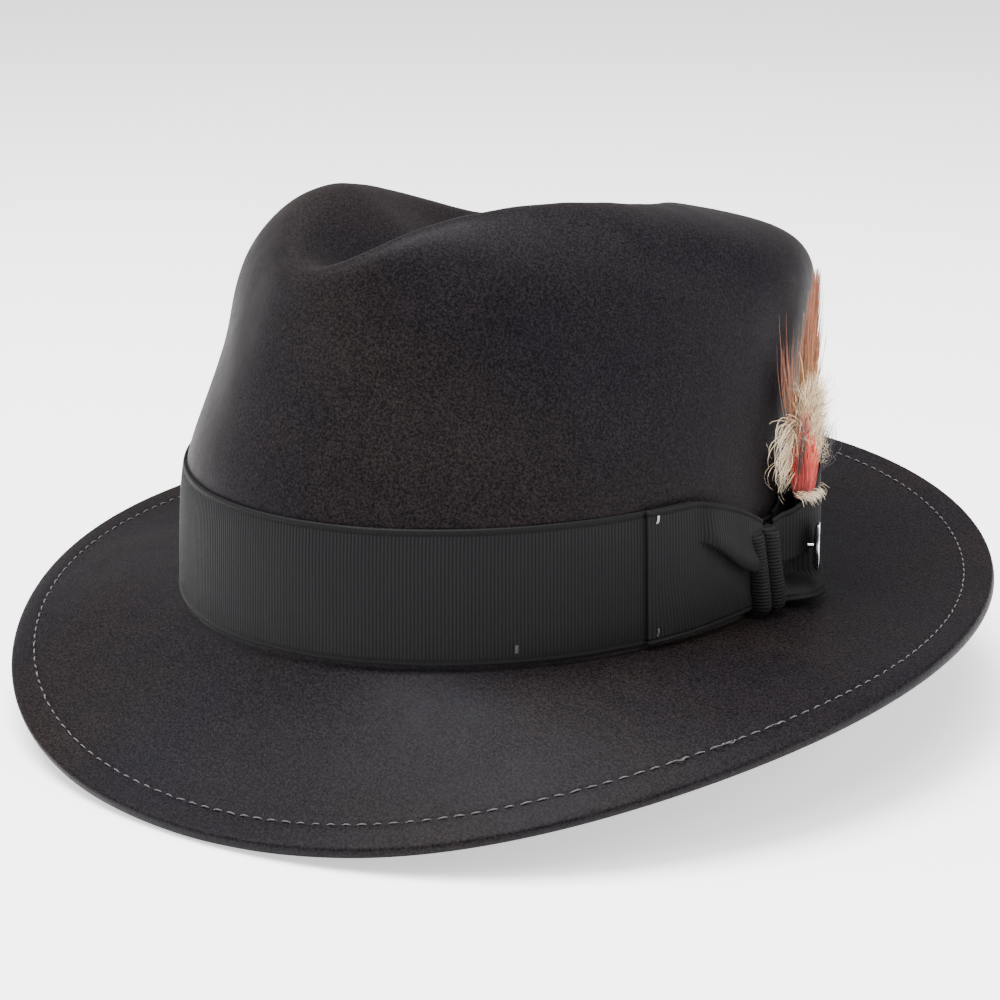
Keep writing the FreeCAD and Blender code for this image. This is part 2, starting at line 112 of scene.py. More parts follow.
def slope_in(t):
    return np.radians(wave(ROOT_SERIES, t))


def slope_gain(t):
    return np.radians(wave(EDGE_SERIES, t)) - slope_in(t)


def ridge_height(t):
    waves = enumerate(RIDGE_WAVES, 1)
    return RIDGE_MEAN + sum(c * np.cos(k * t) + s * np.sin(k * t) for k, (c, s) in waves)


def turn(a):
    return (a + PI) % (2 * PI) - PI


def ring(t, a, b, z, shift=0.0, egg=OVAL_EGG, pinch=1.0):
    g = 0.0
    for s, (depth, height) in ((1, LEFT_PINCH), (-1, RIGHT_PINCH)):
        round_it = np.exp(-0.5 * (turn(t - s * PINCH_ANGLE) / PINCH_SPREAD) ** 2)
        g = g + depth * pinch * round_it * np.exp(-0.5 * ((z - height) / PINCH_TALL) ** 2)
    x = b * np.sin(t) * (1 - egg * np.cos(t))
    y = -a * np.cos(t) + shift
    f = 1 - g / np.maximum(np.hypot(x, y), 1.0)
    return np.stack([x * f, y * f, z + 0 * t], -1)


def crown_rows(t):
    top = ridge_height(t)
    k = top / 113.0
    a, b = HALF_LENGTH, HALF_WIDTH
    rows = [ring(t, a, b, 0.0)]
    for z, inset in ((1.5, 0.0), (6.0, 0.0), (12.0, 0.2), (22.0, 0.6), (32.0, 0.8), (42.0, 1.2)):
        rows.append(ring(t, a - inset, b - inset, z))
    rows.append(ring(t, 99.6, 87.5, 58.0, 1.1, 0.02))
    rows.append(ring(t, 97.4, 87.5, 76.0 * np.sqrt(k), 3.3, 0.06))
    rows.append(ring(t, 94.4, 86.4, 92.0 * k, 6.0, 0.10))
    rows.append(ring(t, 88.8, 77.0, 104.0 * k, 4.8, 0.18))
    ra, rb, back = 63.7, 46.5, -12.9
    rows.append(ring(t, ra + 5, rb + 8, top, back, 0.20))
    rows.append(ring(t, ra - 2, rb, top + 1.5, back, 0.20))
    rows.append(ring(t, ra - 10, rb - 9, top - 3.0, back, 0.20))
    rows.append(ring(t, ra - 22, rb - 20, top - 0.5 * DENT_DEPTH, back, 0.20, 0.5))
    floor = RIDGE_MEAN - DENT_DEPTH
    rows.append(ring(t, (ra - 30) * 0.7, (rb - 28) * 0.7, top - 0.9 * DENT_DEPTH, back, 0.20, 0.0))
    rows.append(ring(t, (ra - 30) * 0.3, (rb - 28) * 0.3, floor, back, 0.1, 0.0))
    rows.append(np.stack([0 * t, back + 0 * t, floor + 0 * t], -1))
    return np.array(rows)


def normal2(t):
    e = 1e-4
    d = ring(t + e, HALF_LENGTH, HALF_WIDTH, 0.0) - ring(t - e, HALF_LENGTH, HALF_WIDTH, 0.0)
    n = np.stack([d[..., 1], -d[..., 0], 0 * d[..., 0]], -1)
    return n / np.linalg.norm(n, axis=-1, keepdims=True)


def brim_point(t, reach, lift=0.0):
    """Point on the top of the brim, reach along the cloth and lift off it."""
    t = np.asarray(t, float)
    out = 0.0
    up = 0.0
    for i in range(24):
        ang = slope_in(t) + slope_gain(t) * (i + 0.5) / 24 * reach / BRIM
        out = out + reach / 24 * np.cos(ang)
        up = up + reach / 24 * np.sin(ang)
    ang = slope_in(t) + slope_gain(t) * reach / BRIM
    base = ring(t, HALF_LENGTH, HALF_WIDTH, 0.0)
    n = normal2(t)
    h = out - lift * np.sin(ang)
    z = up + lift * np.cos(ang)
    return base + n * np.asarray(h)[..., None] + np.stack([0 * z, 0 * z, z], -1)


def clamped(n, per):
    """Cubic clamped basis for n control rows, per samples in each span (a list)."""
    v = []
    for i, c in enumerate(per):
        v += [i + j / c for j in range(c)]
    v = np.array(v + [len(per)], float)
    last = n - 3
    kn = np.array([0.0] * 3 + list(range(last + 1)) + [last] * 3, float)
    v[-1] -= 1e-9
    N = np.array([(v >= kn[i]) & (v < kn[i + 1]) for i in range(len(kn) - 1)], float)
    for d in range(1, 4):
        M = np.zeros((len(kn) - 1 - d, len(v)))
        for i in range(len(M)):
            p, q = kn[i + d] - kn[i], kn[i + d + 1] - kn[i + 1]
            if p > 0:
                M[i] += (v - kn[i]) / p * N[i]
            if q > 0:
                M[i] += (kn[i + d + 1] - v) / q * N[i + 1]
        N = M
    return N.T


def periodic(rows, nu):
    """Closed cubic on control points (..., AROUND, 3), evaluated at nu angles."""
    n = rows.shape[-2]
    u = np.arange(nu) * n / nu
    i = np.floor(u).astype(int)
    f = u - i
    w = [(1 - f) ** 3 / 6, (3 * f ** 3 - 6 * f ** 2 + 4) / 6,
         (-3 * f ** 3 + 3 * f ** 2 + 3 * f + 1) / 6, f ** 3 / 6]
    out = 0
    for k in range(4):
        out = out + rows[..., (i + k - 1) % n, :] * w[k][:, None]
    return out


TS = np.arange(AROUND) * 2 * PI / AROUND


def offset_rows(rows, d):
    along = np.empty_like(rows)
    along[1:-1] = rows[2:] - rows[:-2]
    along[0] = rows[1] - rows[0]
    along[-1] = rows[-1] - rows[-2]
    across = np.roll(rows, -1, 1) - np.roll(rows, 1, 1)
    n = np.cross(across, along)
    ln = np.linalg.norm(n, axis=-1, keepdims=True)
    n = n / np.maximum(ln, 1e-9)
    out = rows + n * d
    out[-1] = rows[-1] + np.array([0, 0, d])
    return out


# ------------------------------------------------------------- wall look-up
WT = 1440
WZ = np.arange(-0.5, 93.01, 0.5)


def _wall_table():
    tt = np.arange(WT) * 2 * PI / WT
    rows = crown_rows(tt)
    B = clamped(18, [24] * 15)
    S = np.tensordot(B, rows, axes=(1, 0))
    S = S[:24 * 9]
    X = np.empty((WT, len(WZ), 2))
    for i in range(WT):
        z = np.maximum.accumulate(S[:, i, 2]) + np.arange(len(S)) * 1e-7
        for c in (0, 1):
            X[i, :, c] = np.interp(WZ, z, S[:, i, c])
    return X


WALL = _wall_table()


def wall(t, z, off=0.0):
    """Point on the outside of the felt wall, moved off along the level normal."""
    t = np.asarray(t, float)
    z = np.asarray(z, float)
    t, z, off = np.broadcast_arrays(t, z, np.asarray(off, float))
    u = (t / (2 * PI) * WT) % WT
    i = np.floor(u).astype(int) % WT
    f = u - np.floor(u)
    v = np.clip((z - WZ[0]) / 0.5, 0, len(WZ) - 1.001)
    j = np.floor(v).astype(int)
    g = v - j
    i2 = (i + 1) % WT
    P = (WALL[i, j] * ((1 - f) * (1 - g))[..., None] + WALL[i2, j] * (f * (1 - g))[..., None]
         + WALL[i, j + 1] * ((1 - f) * g)[..., None] + WALL[i2, j + 1] * (f * g)[..., None])
    n = normal2(t)
    return np.concatenate([P + n[..., :2] * off[..., None], z[..., None]], -1)


def noise3(p, scale, seed=0):
    """Smooth noise from a few fixed sine waves, -1 to 1."""
    r = np.random.default_rng(seed)
    s = 0
    for _ in range(7):
        k = r.normal(size=3)
        k = k / np.linalg.norm(k) * (0.6 + 0.8 * r.random()) * 2 * PI / scale
        s = s + np.sin(p @ k + r.random() * 6.28)
    return s / 3.2


# ------------------------------------------------------------ mesh builders
def make(name, verts, faces, mats, body, mat_index=None, smooth=True):
    me = bpy.data.meshes.new(name)
    me.from_pydata((np.asarray(verts, float) / 1000.0).tolist(), [],
                   [tuple(int(k) for k in f) for f in faces])
    me.validate()
    me.update()
    ob = bpy.data.objects.new(name, me)
    bpy.context.scene.collection.objects.link(ob)
    for m in (mats if isinstance(mats, (list, tuple)) else [mats]):
        me.materials.append(m)
    if mat_index is not None:
        me.polygons.foreach_set("material_index", np.asarray(mat_index, np.int32))
    me.polygons.foreach_set("use_smooth", [smooth] * len(me.polygons))
    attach(ob, body)
    return ob


def grid_faces(nr, nc, wrap_c=False, wrap_r=False, base=0, flip=False):
    r = np.arange(nr if wrap_r else nr - 1)
    c = np.arange(nc if wrap_c else nc - 1)
    R, C = np.meshgrid(r, c, indexing="ij")
    R2, C2 = (R + 1) % nr, (C + 1) % nc
    f = np.stack([R * nc + C, R * nc + C2, R2 * nc + C2, R2 * nc + C], -1).reshape(-1, 4) + base
    return f[:, ::-1] if flip else f


def closed_sheet(low, high):
    """Solid between two grids (rows, cols, 3): returns verts and faces."""
    nr, nc = low.shape[:2]
    V = np.concatenate([low.reshape(-1, 3), high.reshape(-1, 3)])
    n = nr * nc
    F = [grid_faces(nr, nc, flip=True), grid_faces(nr, nc, base=n)]
    first = np.arange(nc)
    last = (nr - 1) * nc + first[::-1]
    left = (np.arange(nr) * nc)[::-1]
    right = np.arange(nr) * nc + nc - 1
    loop = np.concatenate([first[:-1], right[:-1], last[:-1], left[:-1]])
    nxt = np.roll(loop, -1)
    F.append(np.stack([loop, nxt, nxt + n, loop + n], -1))
    return V, np.concatenate(F)


def tube(points, radius, sides=6, closed=False):
    """Tube round a line of points; radius may vary along it."""
    P = np.asarray(points, float)
    m = len(P)
    if closed:
        T = np.roll(P, -1, 0) - np.roll(P, 1, 0)
    else:
        T = np.gradient(P, axis=0)
    T = T / np.maximum(np.linalg.norm(T, axis=1, keepdims=True), 1e-9)
    ref = np.array([0.0, 0.0, 1.0]) if abs(T[0, 2]) < 0.9 else np.array([1.0, 0.0, 0.0])
    A = np.cross(T, ref)
    A = A / np.maximum(np.linalg.norm(A, axis=1, keepdims=True), 1e-9)
    B = np.cross(T, A)
    ang = np.arange(sides) * 2 * PI / sides
    r = np.broadcast_to(np.asarray(radius, float), (m,))
    round_ = A[:, None] * np.cos(ang)[None, :, None] + B[:, None] * np.sin(ang)[None, :, None]
    V = P[:, None] + round_ * r[:, None, None]
    F = grid_faces(m, sides, wrap_c=True, wrap_r=closed)
    V = V.reshape(-1, 3)
    if not closed:
        F = list(map(tuple, F)) + [tuple(range(sides))[::-1], tuple(range((m - 1) * sides, m * sides))]
        return V, F
    return V, [tuple(f) for f in F]


class Heap:
    """Collects many small pieces into one mesh."""

    def __init__(self):
        self.v, self.f, self.m, self.n = [], [], [], 0

    def add(self, v, f, m=0):
        self.v.append(np.asarray(v, float))
        for q in f:
            self.f.append(tuple(int(k) + self.n for k in q))
            self.m.append(m)
        self.n += len(v)

    def line(self, points, radius, sides, m=0, closed=False):
        """Adds a tube along a line of points."""
        v, f = tube(points, radius, sides, closed)
        self.add(v, f, m)

    def build(self, name, mats, body, smooth=True):
        return make(name, np.concatenate(self.v), self.f, mats, body, self.m, smooth)


# ---------------------------------------------------------------- materials
def material(name, base, rough=0.6, **sockets):
    m = bpy.data.materials.new(name)
    m.use_nodes = True
    nt = m.node_tree
    b = nt.nodes["Principled BSDF"]
    b.inputs["Base Color"].default_value = (*base, 1)
    b.inputs["Roughness"].default_value = rough
    for k, v in sockets.items():
        key = k.replace("_", " ")
        b.inputs[key].default_value = v
    return m, nt, b


def coords(nt, scale=(1, 1, 1)):
    tc = nt.nodes.new("ShaderNodeTexCoord")
    mp = nt.nodes.new("ShaderNodeMapping")
    mp.inputs["Scale"].default_value = scale
    nt.links.new(tc.outputs["Object"], mp.inputs["Vector"])
    return mp.outputs["Vector"]


def noise(nt, vec, scale, detail=4.0, rough=0.55):
    n = nt.nodes.new("ShaderNodeTexNoise")
    n.inputs["Scale"].default_value = scale
    n.inputs["Detail"].default_value = detail
    n.inputs["Roughness"].default_value = rough
    nt.links.new(vec, n.inputs["Vector"])
    return n.outputs["Fac"]


def ramp(nt, fac, stops):
    r = nt.nodes.new("ShaderNodeValToRGB")
    el = r.color_ramp.elements
    while len(el) < len(stops):
        el.new(0.5)
    for e, (p, c) in zip(el, stops):
        e.position = p
        e.color = (*c, 1) if len(c) == 3 else c
    nt.links.new(fac, r.inputs["Fac"])
    return r.outputs["Color"]


def mix(nt, fac, a, b, kind="MIX"):
    n = nt.nodes.new("ShaderNodeMix")
    n.data_type = "RGBA"
    n.blend_type = kind
    for sock, v in ((n.inputs[0], fac), (n.inputs[6], a), (n.inputs[7], b)):
        if hasattr(v, "is_linked") or hasattr(v, "links"):
            nt.links.new(v, sock)
        else:
            sock.default_value = v if isinstance(v, (int, float)) else (*v, 1)
    return n.outputs[2]


def bump(nt, bsdf, layers):
    """layers: (height socket, strength, distance in metres), coarse first."""
    last = None
    for h, s, d in layers:
        n = nt.nodes.new("ShaderNodeBump")
        n.inputs["Strength"].default_value = s
        n.inputs["Distance"].default_value = d
        nt.links.new(h, n.inputs["Height"])
        if last is not None:
            nt.links.new(last, n.inputs["Normal"])
        last = n.outputs["Normal"]
    nt.links.new(last, bsdf.inputs["Normal"])


def felt_material():
    m, nt, b = material("felt", (0.007, 0.0065, 0.007), 0.6, Sheen_Weight=0.045, Sheen_Roughness=0.28,
                        Specular_IOR_Level=0.06)
    b.inputs["Sheen Tint"].default_value = (0.60, 0.53, 0.52, 1)
    v = coords(nt)
    big = noise(nt, v, 16, 3, 0.5)
    mid = noise(nt, v, 120, 4, 0.6)
    fine = noise(nt, v, 1500, 3, 0.7)
    tiny = noise(nt, v, 4200, 2, 0.6)
    tint = ramp(nt, big, [(0.30, (0.0026, 0.0024, 0.0042)), (0.5, (0.0031, 0.0026, 0.0034)),
                          (0.72, (0.0050, 0.0037, 0.0036))])
    c1 = mix(nt, ramp(nt, mid, [(0.3, (0, 0, 0)), (0.8, (0.45, 0.45, 0.45))]), tint,
             (0.0054, 0.0044, 0.0050))
    speck = ramp(nt, fine, [(0.40, (0.20, 0.20, 0.24)), (0.64, (2.9, 2.55, 2.45))])
    c2 = mix(nt, 1.0, c1, speck, "MULTIPLY")
    nt.links.new(c2, b.inputs["Base Color"])
    nt.links.new(ramp(nt, mid, [(0.2, (0.46, 0.46, 0.46)), (0.8, (0.58, 0.58, 0.58))]),
                 b.inputs["Roughness"])
    bump(nt, b, [(mid, 0.22, 0.0004), (fine, 0.5, 0.00022), (tiny, 0.35, 0.00010)])
    return m


def grosgrain_material(name, dark, light):
    m, nt, b = material(name, dark, 0.62, Sheen_Weight=0.05, Sheen_Roughness=0.28, Specular_IOR_Level=0.10)
    b.inputs["Sheen Tint"].default_value = (0.75, 0.75, 0.78, 1)
    v = coords(nt)
    big = noise(nt, v, 45, 3, 0.5)
    weave = noise(nt, v, 3600, 2, 0.6)
    # Painted light and shade from the "rib" attribute: painted shade in the rib grooves (down to 0.3 of dark),
    # the plain dark tone between, and a painted highlight on the rib crests (light).
    geo = nt.nodes.new("ShaderNodeAttribute")
    geo.attribute_name = "rib"
    rib_shade_color = ramp(nt, geo.outputs["Fac"],
                  [(0.0, tuple(0.30 * x for x in dark)), (0.55, dark), (1.0, light)])
    c = mix(nt, 0.55, rib_shade_color, ramp(nt, weave, [(0.35, (0.70, 0.70, 0.72)), (0.66, (1.3, 1.3, 1.3))]),
            "MULTIPLY")
    c = mix(nt, 0.35, c, ramp(nt, big, [(0.3, (0.8, 0.8, 0.85)), (0.7, (1.15, 1.12, 1.1))]), "MULTIPLY")
    nt.links.new(c, b.inputs["Base Color"])
    nt.links.new(ramp(nt, weave, [(0.3, (0.52, 0.52, 0.52)), (0.7, (0.74, 0.74, 0.74))]),
                 b.inputs["Roughness"])
    bump(nt, b, [(weave, 0.35, 0.00010)])
    return m


def thread_material(name, base, light):
    m, nt, b = material(name, base, 0.6, Sheen_Weight=0.3, Specular_IOR_Level=0.3)
    v = coords(nt)
    w = noise(nt, v, 2600, 3, 0.6)
    nt.links.new(ramp(nt, w, [(0.3, base), (0.7, light)]), b.inputs["Base Color"])
    bump(nt, b, [(w, 0.6, 0.0001)])
    return m


def strand_material(name, stops, tone=0.6):
    """Feather barbs: colour runs with the stored height, and each strand has its own tone."""
    m, nt, b = material(name, stops[0][1], 0.55, Sheen_Weight=0.25, Specular_IOR_Level=0.35)
    at = nt.nodes.new("ShaderNodeAttribute")
    at.attribute_name = "along"
    tn = nt.nodes.new("ShaderNodeAttribute")
    tn.attribute_name = "tone"
    v = coords(nt)
    w = noise(nt, v, 900, 3, 0.6)
    c = ramp(nt, at.outputs["Fac"], stops)
    c = mix(nt, tone, c, ramp(nt, tn.outputs["Fac"], [(0.0, (0.45, 0.42, 0.40)), (0.5, (1.0, 1.0, 1.0)),
                                                       (1.0, (1.7, 1.65, 1.55))]), "MULTIPLY")
    c = mix(nt, 0.3, c, ramp(nt, w, [(0.3, (0.7, 0.68, 0.66)), (0.7, (1.2, 1.2, 1.2))]), "MULTIPLY")
    nt.links.new(c, b.inputs["Base Color"])
    bump(nt, b, [(w, 0.3, 0.0001)])
    return m


def leather_material():
    m, nt, b = material("leather", (0.06, 0.03, 0.016), 0.42, Specular_IOR_Level=0.45)
    v = coords(nt)
    vo = nt.nodes.new("ShaderNodeTexVoronoi")
    vo.inputs["Scale"].default_value = 900
    nt.links.new(v, vo.inputs["Vector"])
    big = noise(nt, v, 30, 4, 0.6)
    fine = noise(nt, v, 700, 4, 0.6)
    c = ramp(nt, big, [(0.3, (0.046, 0.023, 0.012)), (0.6, (0.075, 0.038, 0.020)),
                       (0.8, (0.105, 0.056, 0.030))])
    c = mix(nt, 0.5, c, ramp(nt, fine, [(0.35, (0.7, 0.68, 0.66)), (0.65, (1.2, 1.18, 1.15))]), "MULTIPLY")
    nt.links.new(c, b.inputs["Base Color"])
    nt.links.new(ramp(nt, fine, [(0.3, (0.34, 0.34, 0.34)), (0.7, (0.52, 0.52, 0.52))]),
                 b.inputs["Roughness"])
    bump(nt, b, [(big, 0.2, 0.0006), (vo.outputs["Distance"], 0.35, 0.00015), (fine, 0.2, 0.0001)])
    return m


def satin_material(name, dark, light):
    m, nt, b = material(name, dark, 0.34, Sheen_Weight=0.2, Specular_IOR_Level=0.55, Anisotropic=0.5)
    v = coords(nt)
    big = noise(nt, v, 22, 3, 0.5)
    yarn = noise(nt, coords(nt, (1, 1, 0.08)), 2600, 2, 0.5)
    c = mix(nt, 0.6, ramp(nt, big, [(0.3, dark), (0.7, light)]),
            ramp(nt, yarn, [(0.35, (0.8, 0.8, 0.8)), (0.65, (1.12, 1.12, 1.12))]), "MULTIPLY")
    nt.links.new(c, b.inputs["Base Color"])
    bump(nt, b, [(big, 0.35, 0.0012), (yarn, 0.25, 0.00006)])
    return m


def plain_material(name, dark, light, rough, scale=400, bumpy=0.15, **kw):
    m, nt, b = material(name, dark, rough, **kw)
    v = coords(nt)
    w = noise(nt, v, scale, 4, 0.6)
    nt.links.new(ramp(nt, w, [(0.3, dark), (0.7, light)]), b.inputs["Base Color"])
    r = max(0.04, rough - 0.06)
    nt.links.new(ramp(nt, w, [(0.25, (r, r, r)), (0.75, (rough + 0.08,) * 3)]), b.inputs["Roughness"])
    bump(nt, b, [(w, bumpy, 0.0001)])
    return m


FELT_M = felt_material()
# the two colours feed the painted shade in the rib grooves and the painted highlight on the crests
RIBBON_M = grosgrain_material("grosgrain", (0.0022, 0.0021, 0.0025), (0.0075, 0.0072, 0.0080))
EDGE_M = thread_material("edge_thread", (0.026, 0.024, 0.025), (0.075, 0.070, 0.070))
LOOSE_M = thread_material("corner_thread", (0.14, 0.14, 0.14), (0.28, 0.28, 0.28))
TACK_M = thread_material("tack_thread", (0.006, 0.006, 0.007), (0.02, 0.02, 0.022))
METAL_M = plain_material("pin_metal", (0.72, 0.72, 0.74), (0.86, 0.86, 0.87), 0.16, 300, 0.05, Metallic=1.0)
ENAMEL_M = plain_material("pin_enamel", (0.004, 0.004, 0.005), (0.009, 0.009, 0.010), 0.14, 250, 0.05,
                          Coat_Weight=0.6)
RUST_M = strand_material("rust_barbs", [(0.0, (0.42, 0.27, 0.095)), (0.22, (0.40, 0.20, 0.06)),
                                        (0.45, (0.30, 0.105, 0.035)), (1.0, (0.22, 0.060, 0.028))])
TAN_M = strand_material("tan_down", [(0.0, (0.34, 0.22, 0.11)), (0.35, (0.52, 0.37, 0.20)),
                                     (0.8, (0.72, 0.56, 0.36)), (1.0, (0.90, 0.80, 0.62))])
RED_M = strand_material("red_barbs", [(0.0, (0.16, 0.010, 0.010)), (0.3, (0.42, 0.026, 0.020)),
                                      (1.0, (0.66, 0.085, 0.05))])
DARK_M = strand_material("dark_barbs", [(0.0, (0.02, 0.018, 0.018)), (1.0, (0.035, 0.03, 0.03))], 0.3)
QUILL_M = plain_material("quill", (0.30, 0.21, 0.11), (0.44, 0.33, 0.2), 0.4, 500)
LEATHER_M = leather_material()
SATIN_M = satin_material("lining_satin", (0.30, 0.265, 0.215), (0.40, 0.36, 0.30))
PIPING_M = thread_material("piping", (0.018, 0.016, 0.018), (0.05, 0.045, 0.05))
TAPE_M = thread_material("reed_tape", (0.035, 0.022, 0.015), (0.075, 0.05, 0.035))
REED_M = plain_material("reed", (0.42, 0.42, 0.40), (0.52, 0.52, 0.5), 0.35)
LABEL_M = plain_material("label", (0.55, 0.54, 0.50), (0.66, 0.65, 0.61), 0.8, 900)
FILM_M = plain_material("film", (0.80, 0.82, 0.82), (0.86, 0.88, 0.88), 0.12, 40, 0.1, Alpha=0.16)


def give(name, mat):
    """A better finish on a CAD node that stays."""
    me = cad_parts[name].data
    if not me.materials:
        me.materials.append(mat)
    for i in range(len(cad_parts[name].material_slots)):
        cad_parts[name].material_slots[i].link = "OBJECT"
        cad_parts[name].material_slots[i].material = mat


# ------------------------------------------------------------------ the felt
def build_felt():
    rows = crown_rows(TS)
    inner = offset_rows(rows, -FELT)
    tk = 2 * FELT
    top = [(r, 0.0) for r in (1.5, 5.0, 11.0, 19.0, 27.0, 35.0, 42.0, 46.2)]
    top += [(48.0, 0.02), (48.9, -0.42), (49.8, 0.04), (52.5, 0.12), (55.3, 0.02), (56.8, -0.1)]
    edge = [(57.5, -0.35), (57.8, -1.2), (57.8, -2.8), (57.4, -3.8)]
    under = [(56.4, -tk - 0.05), (53.0, -tk - 0.1), (49.7, -tk), (48.9, -tk + 0.4), (48.1, -tk),
             (47.3, -tk + 0.05), (46.8, -tk + 0.35), (46.7, -2.9), (47.1, -2.42), (48.4, -2.3),
             (48.6, -2.2), (47.4, -2.12), (46.0, -2.03), (44.0, -FELT), (42.0, -FELT), (35.0, -FELT),
             (27.0, -FELT), (19.0, -FELT), (11.0, -FELT), (5.0, -FELT), (2.4, -FELT)]
    brim = np.array([brim_point(TS, r, l) for r, l in top + edge + under])
    ang = slope_in(TS)
    z = -FELT * (1 + np.sin(ang)) / np.cos(ang)
    corner = ring(TS, HALF_LENGTH, HALF_WIDTH, 0.0) - normal2(TS) * FELT
    corner[:, 2] = z
    low = inner[1:7].copy()
    low[..., 2] = rows[1:7][..., 2]
    allr = np.concatenate([rows[::-1], brim, corner[None], low, inner[7:]])
    spans = len(allr) - 3
    per = []
    for i in range(spans):
        if i < 12:
            per.append(7)
        elif i < 18:
            per.append(3)
        elif i < 18 + len(top) - 6:
            per.append(4)
        elif i < spans - 16:
            per.append(2)
        else:
            per.append(3)
    B = clamped(len(allr), per)
    S = np.tensordot(B, allr, axes=(1, 0))
    nu = 384
    G = periodic(S, nu)
    nr = len(G)
    # the hand of the cloth: very slight unevenness on the upper crown and brim
    p = G.reshape(-1, 3)
    up = np.clip((p[:, 2] - 48) / 20, 0, 1)
    rad = np.hypot(p[:, 0] / HALF_WIDTH, p[:, 1] / HALF_LENGTH)
    out = np.clip((rad - 1.06) / 0.1, 0, 1) * np.clip((1.45 - rad) / 0.1, 0, 1)
    wob = (0.30 * noise3(p, 46, 3) + 0.14 * noise3(p, 19, 4)) * (up + 0.6 * out)
    p[:, 2] += wob * 0.8
    p[:, :2] *= (1 + wob / 160 * up)[:, None]
    G = p.reshape(nr, nu, 3)
    V = G[1:-1].reshape(-1, 3)
    V = np.concatenate([V, G[0, :1], G[-1, :1]])
    n = nr - 2
    F = [tuple(f) for f in grid_faces(n, nu, wrap_c=True, flip=True)]
    a, b = n * nu, n * nu + 1
    for i in range(nu):
        F.append((a, (i + 1) % nu, i))
        F.append((b, (n - 1) * nu + i, (n - 1) * nu + (i + 1) % nu))
    ob = make("felt_shell", V, F, FELT_M, "hat")
    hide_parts("felt_body")


def arc_params(fn, count, n=2880):
    """Angles that divide the closed line fn(t) into equal lengths."""
    t = np.linspace(0, 2 * PI, n + 1)
    P = fn(t)
    s = np.concatenate([[0], np.cumsum(np.linalg.norm(np.diff(P, axis=0), axis=1))])
    return np.interp(np.arange(count) / count * s[-1], s, t), s[-1]


def build_welt_stitches():
    seam = BRIM - STITCH_IN
    heap = Heap()
    for lift, phase, sgn in ((-0.18, 0.0, 1), (-2 * FELT + 0.16, 0.5, -1)):
        fine = 4000
        ts, length = arc_params(lambda t: brim_point(t, seam, lift), fine)
        count = int(round(length / STITCH_PITCH))
        for i in range(count):
            c = (i + phase) / count
            ln = STITCH_LENGTH + 0.25 * RNG.normal()
            f = c + np.linspace(-0.5, 0.5, 7) * ln / length
            tt = np.interp((f % 1.0) * fine, np.arange(fine + 1), np.append(ts, 2 * PI))
            bow = np.cos(np.linspace(-0.5, 0.5, 7) * PI)
            side = 0.10 * RNG.normal()
            P = np.array([brim_point(a, seam + side * (k - 3) / 3, lift + sgn * 0.30 * q)
                          for k, (a, q) in enumerate(zip(tt, bow))])
            heap.line(P, 0.20 * (0.55 + 0.45 * bow), 6)
        if sgn > 0:
            # a few slack stitches stand up in small loops at the front left
            for a0, tall in ((57, 1.1), (61.5, 1.5), (63, 0.9), (69, 1.2)):
                w = np.linspace(0, 1, 15)
                P = np.array([brim_point(math.radians(a0 + 1.6 * k), seam + 1.3 * math.sin(PI * k) ** 2,
                                         lift + 0.2 + tall * math.sin(PI * k)) for k in w])
                heap.line(P, 0.14, 6)
    ob = heap.build("edge_stitches", EDGE_M, "hat")
    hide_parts("welt_stitching")


def add_attr(ob, name, values):
    a = ob.data.attributes.new(name, "FLOAT", "POINT")
    a.data.foreach_set("value", np.asarray(values, np.float32))


def rib_wave(s):
    """Height of a grosgrain rib across its pitch, 0 in the groove, 1 on the crest."""
    return np.abs(np.sin(PI * s)) ** 0.75


def smooth01(x):
    x = np.clip(x, 0, 1)
    return x * x * (3 - 2 * x)


def band_dip(t):
    d = np.degrees(t)
    return BAND_DIP * smooth01((d - 74.0) / 15.0) * (1 - smooth01((d - 101.0) / 9.0))


